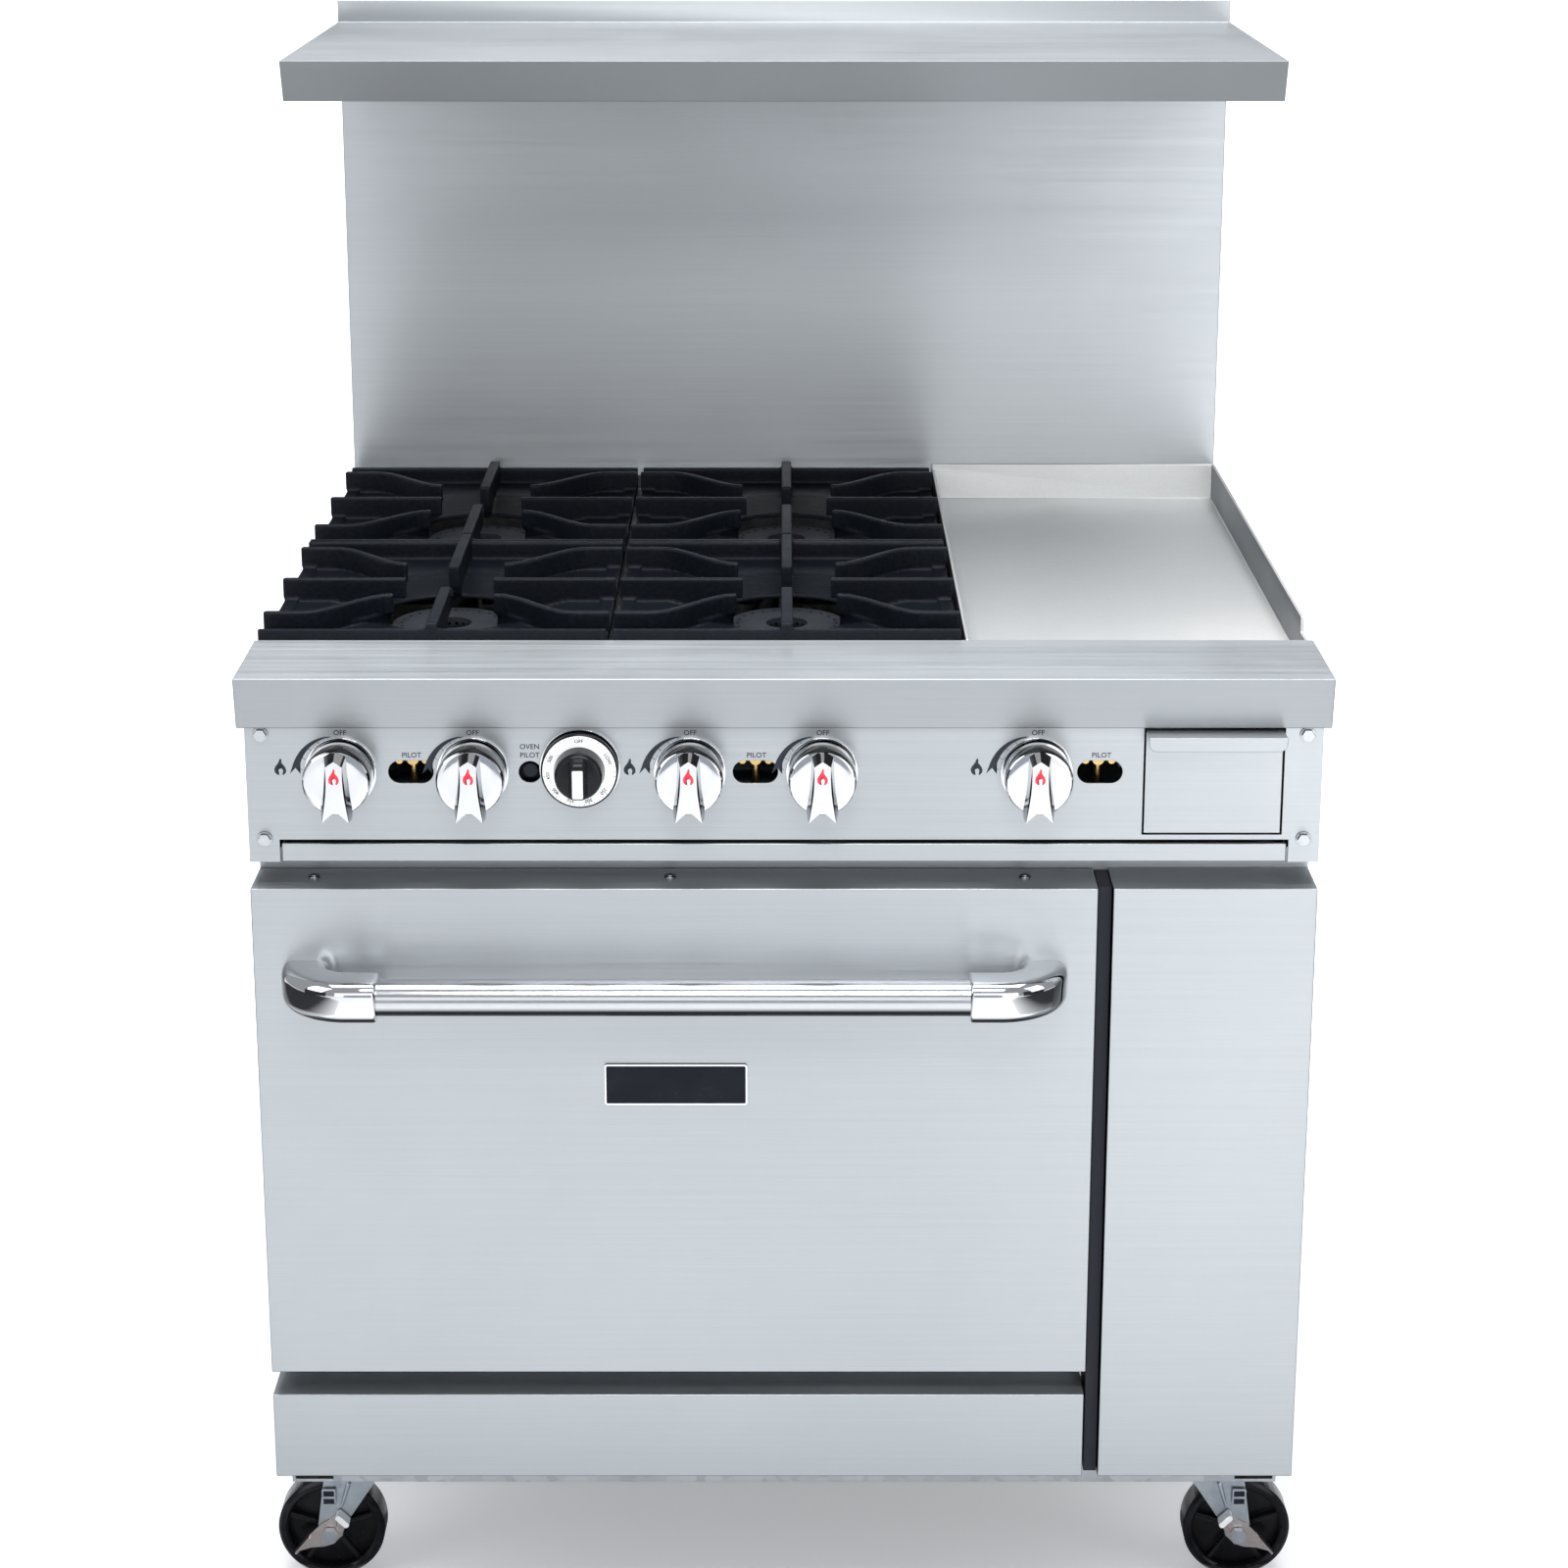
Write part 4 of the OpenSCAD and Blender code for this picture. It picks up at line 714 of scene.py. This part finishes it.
ink = bmesh.new()
for k, label in enumerate(["OFF", "", "LOW", "", "250", "300", "350", "400", "450", "500", ""]):
    angle = math.radians(360 / 11 * k)
    if label:
        spot = Vector((math.sin(angle) * 26.4, DIAL_FACE - 0.12, math.cos(angle) * 26.4)) * MM
        join(ink, lettering(label, 4.4, spot, turn=angle))
for k in range(44):
    angle = 2 * math.pi * k / 44
    inner, outer, half = (28.9 if k % 4 else 29.0), 30.3, 0.14 if k % 4 else 0.26
    corners = []
    for r, w in ((inner, -half), (outer, -half), (outer, half), (inner, half)):
        corners.append((math.sin(angle) * r + math.cos(angle) * w, math.cos(angle) * r - math.sin(angle) * w))
    prism(ink, corners, DIAL_FACE - 0.16, DIAL_FACE - 0.04)
piece("thermostat_numbers", ink, "thermostat_knob", DARK_INK, place=DIAL)


# ---------- print on the control panel ----------

PANEL_FACE = (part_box("control_panel")[0].y - Y0) / MM
KNOB_XS = [middle(f"knob_{k}").x / MM for k in range(1, 6)]
KNOB_Z = (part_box("knob_1")[1].z / MM) - KNOB_RADIUS
PILOT_XS = [(KNOB_XS[0] + KNOB_XS[1]) / 2 + 3.5, (KNOB_XS[2] + KNOB_XS[3]) / 2 - 0.5, KNOB_XS[4] + 53]

bm = bmesh.new()
for cx in KNOB_XS:
    outer, inner = [], []
    for k in range(25):
        t = k / 24
        a = math.radians(103 + 77 * t)
        r_in, r_out = 31.4 + 3.4 * t, 31.7 + 9.6 * t ** 0.9
        outer.append((cx + r_out * math.cos(a), KNOB_Z + r_out * math.sin(a)))
        inner.append((cx + r_in * math.cos(a), KNOB_Z + r_in * math.sin(a)))
    notch = [(cx - 37.6, KNOB_Z + 3.6)]
    outer[-1] = (cx - 42.6, KNOB_Z - 1.6)
    inner[-1] = (cx - 33.6, KNOB_Z - 1.8)
    prism(bm, outer + notch + inner[::-1], PANEL_FACE - 0.08, PANEL_FACE + 0.04)
    for k in range(5):
        a = math.radians(108 + 17 * k)
        r_in = 31.5 + 3.4 * (17 * k) / 77
        direction = Vector((math.cos(a), math.sin(a)))
        side = Vector((-direction.y, direction.x)) * 0.22
        p, q = direction * (r_in - 2.6), direction * (r_in + 0.3)
        prism(bm, [(cx + v.x, KNOB_Z + v.y) for v in (p - side, q - side, q + side, p + side)],
              PANEL_FACE - 0.08, PANEL_FACE + 0.04)
    if cx in KNOB_XS[::2]:
        prism(bm, [(cx - 50.5 + x, KNOB_Z + 4 + z) for x, z in flame(12.0, 15.0)],
              PANEL_FACE - 0.08, PANEL_FACE + 0.04)
    join(bm, lettering("OFF", 6.2, at(cx + 0.5, PANEL_FACE - 0.05, KNOB_Z + 34.2) - Vector((0, Y0, 0))))
for px in PILOT_XS:
    join(bm, lettering("PILOT", 6.2, at(px + 1, PANEL_FACE - 0.05, KNOB_Z + 14.6) - Vector((0, Y0, 0))))
oven_x = -213
join(bm, lettering("OVEN", 6.2, at(oven_x, PANEL_FACE - 0.05, KNOB_Z + 22) - Vector((0, Y0, 0))))
join(bm, lettering("PILOT", 6.2, at(oven_x, PANEL_FACE - 0.05, KNOB_Z + 14.6) - Vector((0, Y0, 0))))
piece("panel_print", bm, BODY_OF["control_panel"], INK, place=Vector((0, Y0, 0)))


# ---------- door handle ----------


def handle_elbow(side):
    """Polished casting that leaves the door, turns a quarter circle and takes the end of the bar."""
    low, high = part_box("door_handle_brackets")
    mid_x = (low.x + high.x) / 2 / MM
    z = (low.z + high.z) / 2 / MM
    half = (high.x - low.x) / 2 / MM
    front = (low.y - Y0) / MM
    t, h, r_in = 40.0, 36.0, 20.0
    r_mid = r_in + t / 2
    centre_x = half - r_in - t
    bar_half = 247.5
    frames = []
    steps = 28
    for k in range(steps + 1):
        a = math.pi / 2 * k / steps
        frames.append((Vector((centre_x + r_mid * math.cos(a), -r_mid * math.sin(a))),
                       Vector((math.cos(a), -math.sin(a))), 1.0))
    end = bar_half + 0.6
    for x in (centre_x - 8, end + 2.6, end + 1.0, end):
        scale = {end: 0.93, end + 1.0: 0.985}.get(x, 1.0)
        frames.append((Vector((x, -r_mid)), Vector((0, -1)), scale))
    profile = rounded(t, h, 10.5, 8)
    bm = bmesh.new()
    rings = []
    for where, out, scale in frames:
        ring = []
        for u, v in profile:
            spot = where + out * u * scale
            ring.append(bm.verts.new(Vector((spot.x * side, spot.y, v * scale)) * MM))
        rings.append(ring)
    count = len(profile)
    for a, b in zip(rings, rings[1:]):
        for k in range(count):
            n = (k + 1) % count
            bm.faces.new((a[k], a[n], b[n], b[k]))
    bm.faces.new(rings[0])
    bm.faces.new(rings[-1])
    assert abs(front + t + r_in) < 1.0
    return bm, at(mid_x, 0, z)


for side, word in ((-1, "left"), (1, "right")):
    bm, spot = handle_elbow(side)
    piece(f"handle_elbow_{word}", bm, "door", HANDLE_CHROME, place=spot, angle=40,
          replaces=["door_handle_brackets"])

low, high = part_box("door_handle_bar")
half_bar = (high.x - low.x) / 2 / MM
radius = (high.z - low.z) / 2 / MM
bm = bmesh.new()
lathe(bm, [(0, -half_bar), (radius - 1, -half_bar), (radius, -half_bar + 1), (radius, half_bar - 1),
           (radius - 1, half_bar), (0, half_bar)], steps=72)
bmesh.ops.rotate(bm, verts=bm.verts, matrix=Matrix.Rotation(math.pi / 2, 3, "Z"))
piece("handle_bar_tube", bm, "door", SATIN_CHROME, replaces=["door_handle_bar"],
      place=(low + high) / 2)

# Bright border round the blank badge
low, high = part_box("door_badge")
w, h = (high.x - low.x) / MM, (high.z - low.z) / MM
bm = bmesh.new()
outer, inner = rounded(w, h, 2.0, 4), rounded(w - 2.6, h - 2.6, 1.2, 4)
a = [bm.verts.new((x * MM, -0.2 * MM, z * MM)) for x, z in outer]
b = [bm.verts.new((x * MM, -0.2 * MM, z * MM)) for x, z in inner]
c = [bm.verts.new((x * MM, 1.0 * MM, z * MM)) for x, z in inner]
d = [bm.verts.new((x * MM, 1.0 * MM, z * MM)) for x, z in outer]
for k in range(len(a)):
    n = (k + 1) % len(a)
    for p, q in ((a, b), (b, c), (c, d), (d, a)):
        bm.faces.new((p[k], p[n], q[n], q[k]))
piece("badge_border", bm, "door", FINISHES["chrome"],
      place=Vector(((low.x + high.x) / 2, low.y, (low.z + high.z) / 2)))


# ---------- floor, light and camera ----------


def stage_material(name, colour, rough, glow=0.0):
    s = Shader(name, Emission_Strength=glow)
    s.bsdf.inputs["Emission Color"].default_value = (0.95, 0.97, 1.0, 1.0)
    cloud = s.noise(2.0, 3.0, 0.5)
    shade = s.mix(s.ramp(cloud, 0.3, 0.7), colour, [c * 0.99 for c in colour])
    return s.to(Base_Color=shade, Roughness=s.ramp(cloud, 0.3, 0.7, rough, rough + 0.05))


def backdrop():
    """A pale floor that curves up into a wall behind the range."""
    wide, front, back, bend, top = 7.0, -7.0, 3.4, 1.6, 6.0
    line = [(front, 0.0), (back, 0.0)]
    for k in range(1, 17):
        a = math.pi / 2 * k / 16
        line.append((back + bend * math.sin(a), bend * (1 - math.cos(a))))
    line.append((back + bend, top))
    bm = bmesh.new()
    columns = [[bm.verts.new((x, y, z)) for y, z in line] for x in (-wide, wide)]
    for k in range(len(line) - 1):
        bm.faces.new((columns[0][k], columns[1][k], columns[1][k + 1], columns[0][k + 1]))
    data = bpy.data.meshes.new("studio_floor")
    bm.to_mesh(data)
    bm.free()
    data.materials.append(stage_material("studio_paper", (0.90, 0.905, 0.91), 0.75, 0.28))
    for polygon in data.polygons:
        polygon.use_smooth = True
    thing = bpy.data.objects.new("studio_floor", data)
    bpy.context.scene.collection.objects.link(thing)


def softbox(name, place, aim, size, power):
    light = bpy.data.lights.new(name, "AREA")
    light.shape = "RECTANGLE"
    light.size, light.size_y = size
    light.energy = power
    thing = bpy.data.objects.new(name, light)
    bpy.context.scene.collection.objects.link(thing)
    thing.location = place
    thing.rotation_euler = (Vector(aim) - Vector(place)).to_track_quat("-Z", "Y").to_euler()
    thing.visible_camera = False


def fading_card(name, shade, pale):
    """A card that is pale beside the range and fades to its shade further out."""
    s = Shader(name)
    where = s.add("SeparateXYZ", {"Vector": s.add("NewGeometry").outputs["Position"]}).outputs["X"]
    out = s.ramp(s.maths("ABSOLUTE", where), 0.95, 1.75)
    return s.to(Base_Color=s.mix(out, (pale, pale, pale), shade), Roughness=s.ramp(out, 0.0, 1.0, 0.85, 0.9))


def flag(name, place, aim, size, shade, pale=None):
    """A grey card that shows only as a darker patch in the metal's reflections."""
    bm = bmesh.new()
    w, h = size[0] / 2, size[1] / 2
    bm.faces.new([bm.verts.new(p) for p in ((-w, -h, 0), (w, -h, 0), (w, h, 0), (-w, h, 0))])
    data = bpy.data.meshes.new(name)
    bm.to_mesh(data)
    bm.free()
    if pale:
        data.materials.append(fading_card(name + "_card", shade, pale))
    else:
        data.materials.append(stage_material(name + "_card", shade, 0.9))
    thing = bpy.data.objects.new(name, data)
    bpy.context.scene.collection.objects.link(thing)
    thing.location = place
    thing.rotation_euler = (Vector(aim) - Vector(place)).to_track_quat("-Z", "Y").to_euler()
    thing.visible_camera = False
    thing.visible_diffuse = False
    thing.visible_shadow = False


backdrop()
flag("flag_middle", (-0.19, -3.5, 0.45), (-0.1, 0.4, 1.05), (1.37, 0.95), (0.30, 0.32, 0.35))
flag("flag_left", (-3.1, -2.3, 0.75), (0, 0, 0.7), (2.3, 2.3), (0.02, 0.022, 0.025))
flag("flag_right", (3.1, -2.3, 0.75), (0, 0, 0.7), (2.3, 2.3), (0.02, 0.022, 0.025))
flag("flag_near_floor", (0.0, -0.42, 0.012), (0, -0.42, 2), (2.4, 0.55), (0.34, 0.36, 0.38))
flag("flag_back_left", (-1.55, 2.3, 1.4), (0, 0, 1.0), (2.1, 2.2), (0.03, 0.032, 0.036))
flag("flag_back_right", (1.55, 2.3, 1.4), (0, 0, 1.0), (2.1, 2.2), (0.03, 0.032, 0.036))
flag("flag_behind", (-0.2, 2.9, 1.9), (0, 0, 1.4), (2.6, 2.2), (0.10, 0.105, 0.115))
flag("flag_floor_left", (-2.45, -0.6, 0.012), (-2.45, -0.6, 2), (3.1, 3.6), (0.015, 0.016, 0.02), 0.75)
flag("flag_floor_right", (2.45, -0.6, 0.012), (2.45, -0.6, 2), (3.1, 3.6), (0.015, 0.016, 0.02), 0.75)
softbox("front_wall", (0.3, -5.4, 1.3), (0, 0, 0.9), (5.5, 3.0), 62)
softbox("card_right", (1.15, -3.6, 0.62), (0.2, 0.8, 1.1), (0.8, 1.0), 5)
softbox("floor_pool", (0.0, -1.9, 2.3), (0, -1.9, 0), (0.9, 0.8), 22)
softbox("key_left", (-2.6, -1.8, 2.6), (0, 0, 0.7), (1.6, 2.4), 26)
softbox("key_right", (2.8, -1.6, 2.2), (0, 0, 0.7), (1.4, 2.4), 19)
softbox("top", (0.0, -0.2, 3.4), (0, 0, 0.7), (2.6, 1.6), 85)
softbox("backdrop_glow", (0.0, 2.0, 3.2), (0, 4.6, 1.2), (5.0, 1.0), 120)


def studio_world():
    """Pale surroundings for the metal to reflect, and plain white where the camera looks past the floor."""
    world = bpy.data.worlds.new("studio")
    world.use_nodes = True
    nodes, links = world.node_tree.nodes, world.node_tree.links
    room = nodes["Background"]
    room.inputs["Color"].default_value = (0.94, 0.965, 1.0, 1.0)
    room.inputs["Strength"].default_value = 0.44
    white = nodes.new("ShaderNodeBackground")
    mix = nodes.new("ShaderNodeMixShader")
    path = nodes.new("ShaderNodeLightPath")
    links.new(path.outputs["Is Camera Ray"], mix.inputs[0])
    links.new(room.outputs[0], mix.inputs[1])
    links.new(white.outputs[0], mix.inputs[2])
    links.new(mix.outputs[0], nodes["World Output"].inputs["Surface"])
    bpy.context.scene.world = world


studio_world()
bpy.context.scene.view_settings.view_transform = "Standard"

camera = bpy.data.cameras.new("camera")
camera.lens = 75.4
camera.sensor_width = 36.0
camera.shift_y = -0.10
camera.clip_end = 60.0
view = bpy.data.objects.new("camera", camera)
bpy.context.scene.collection.objects.link(view)
view.location = at(0, -2611, 1685)
view.rotation_euler = (math.radians(74.7), 0, 0)
bpy.context.scene.camera = view
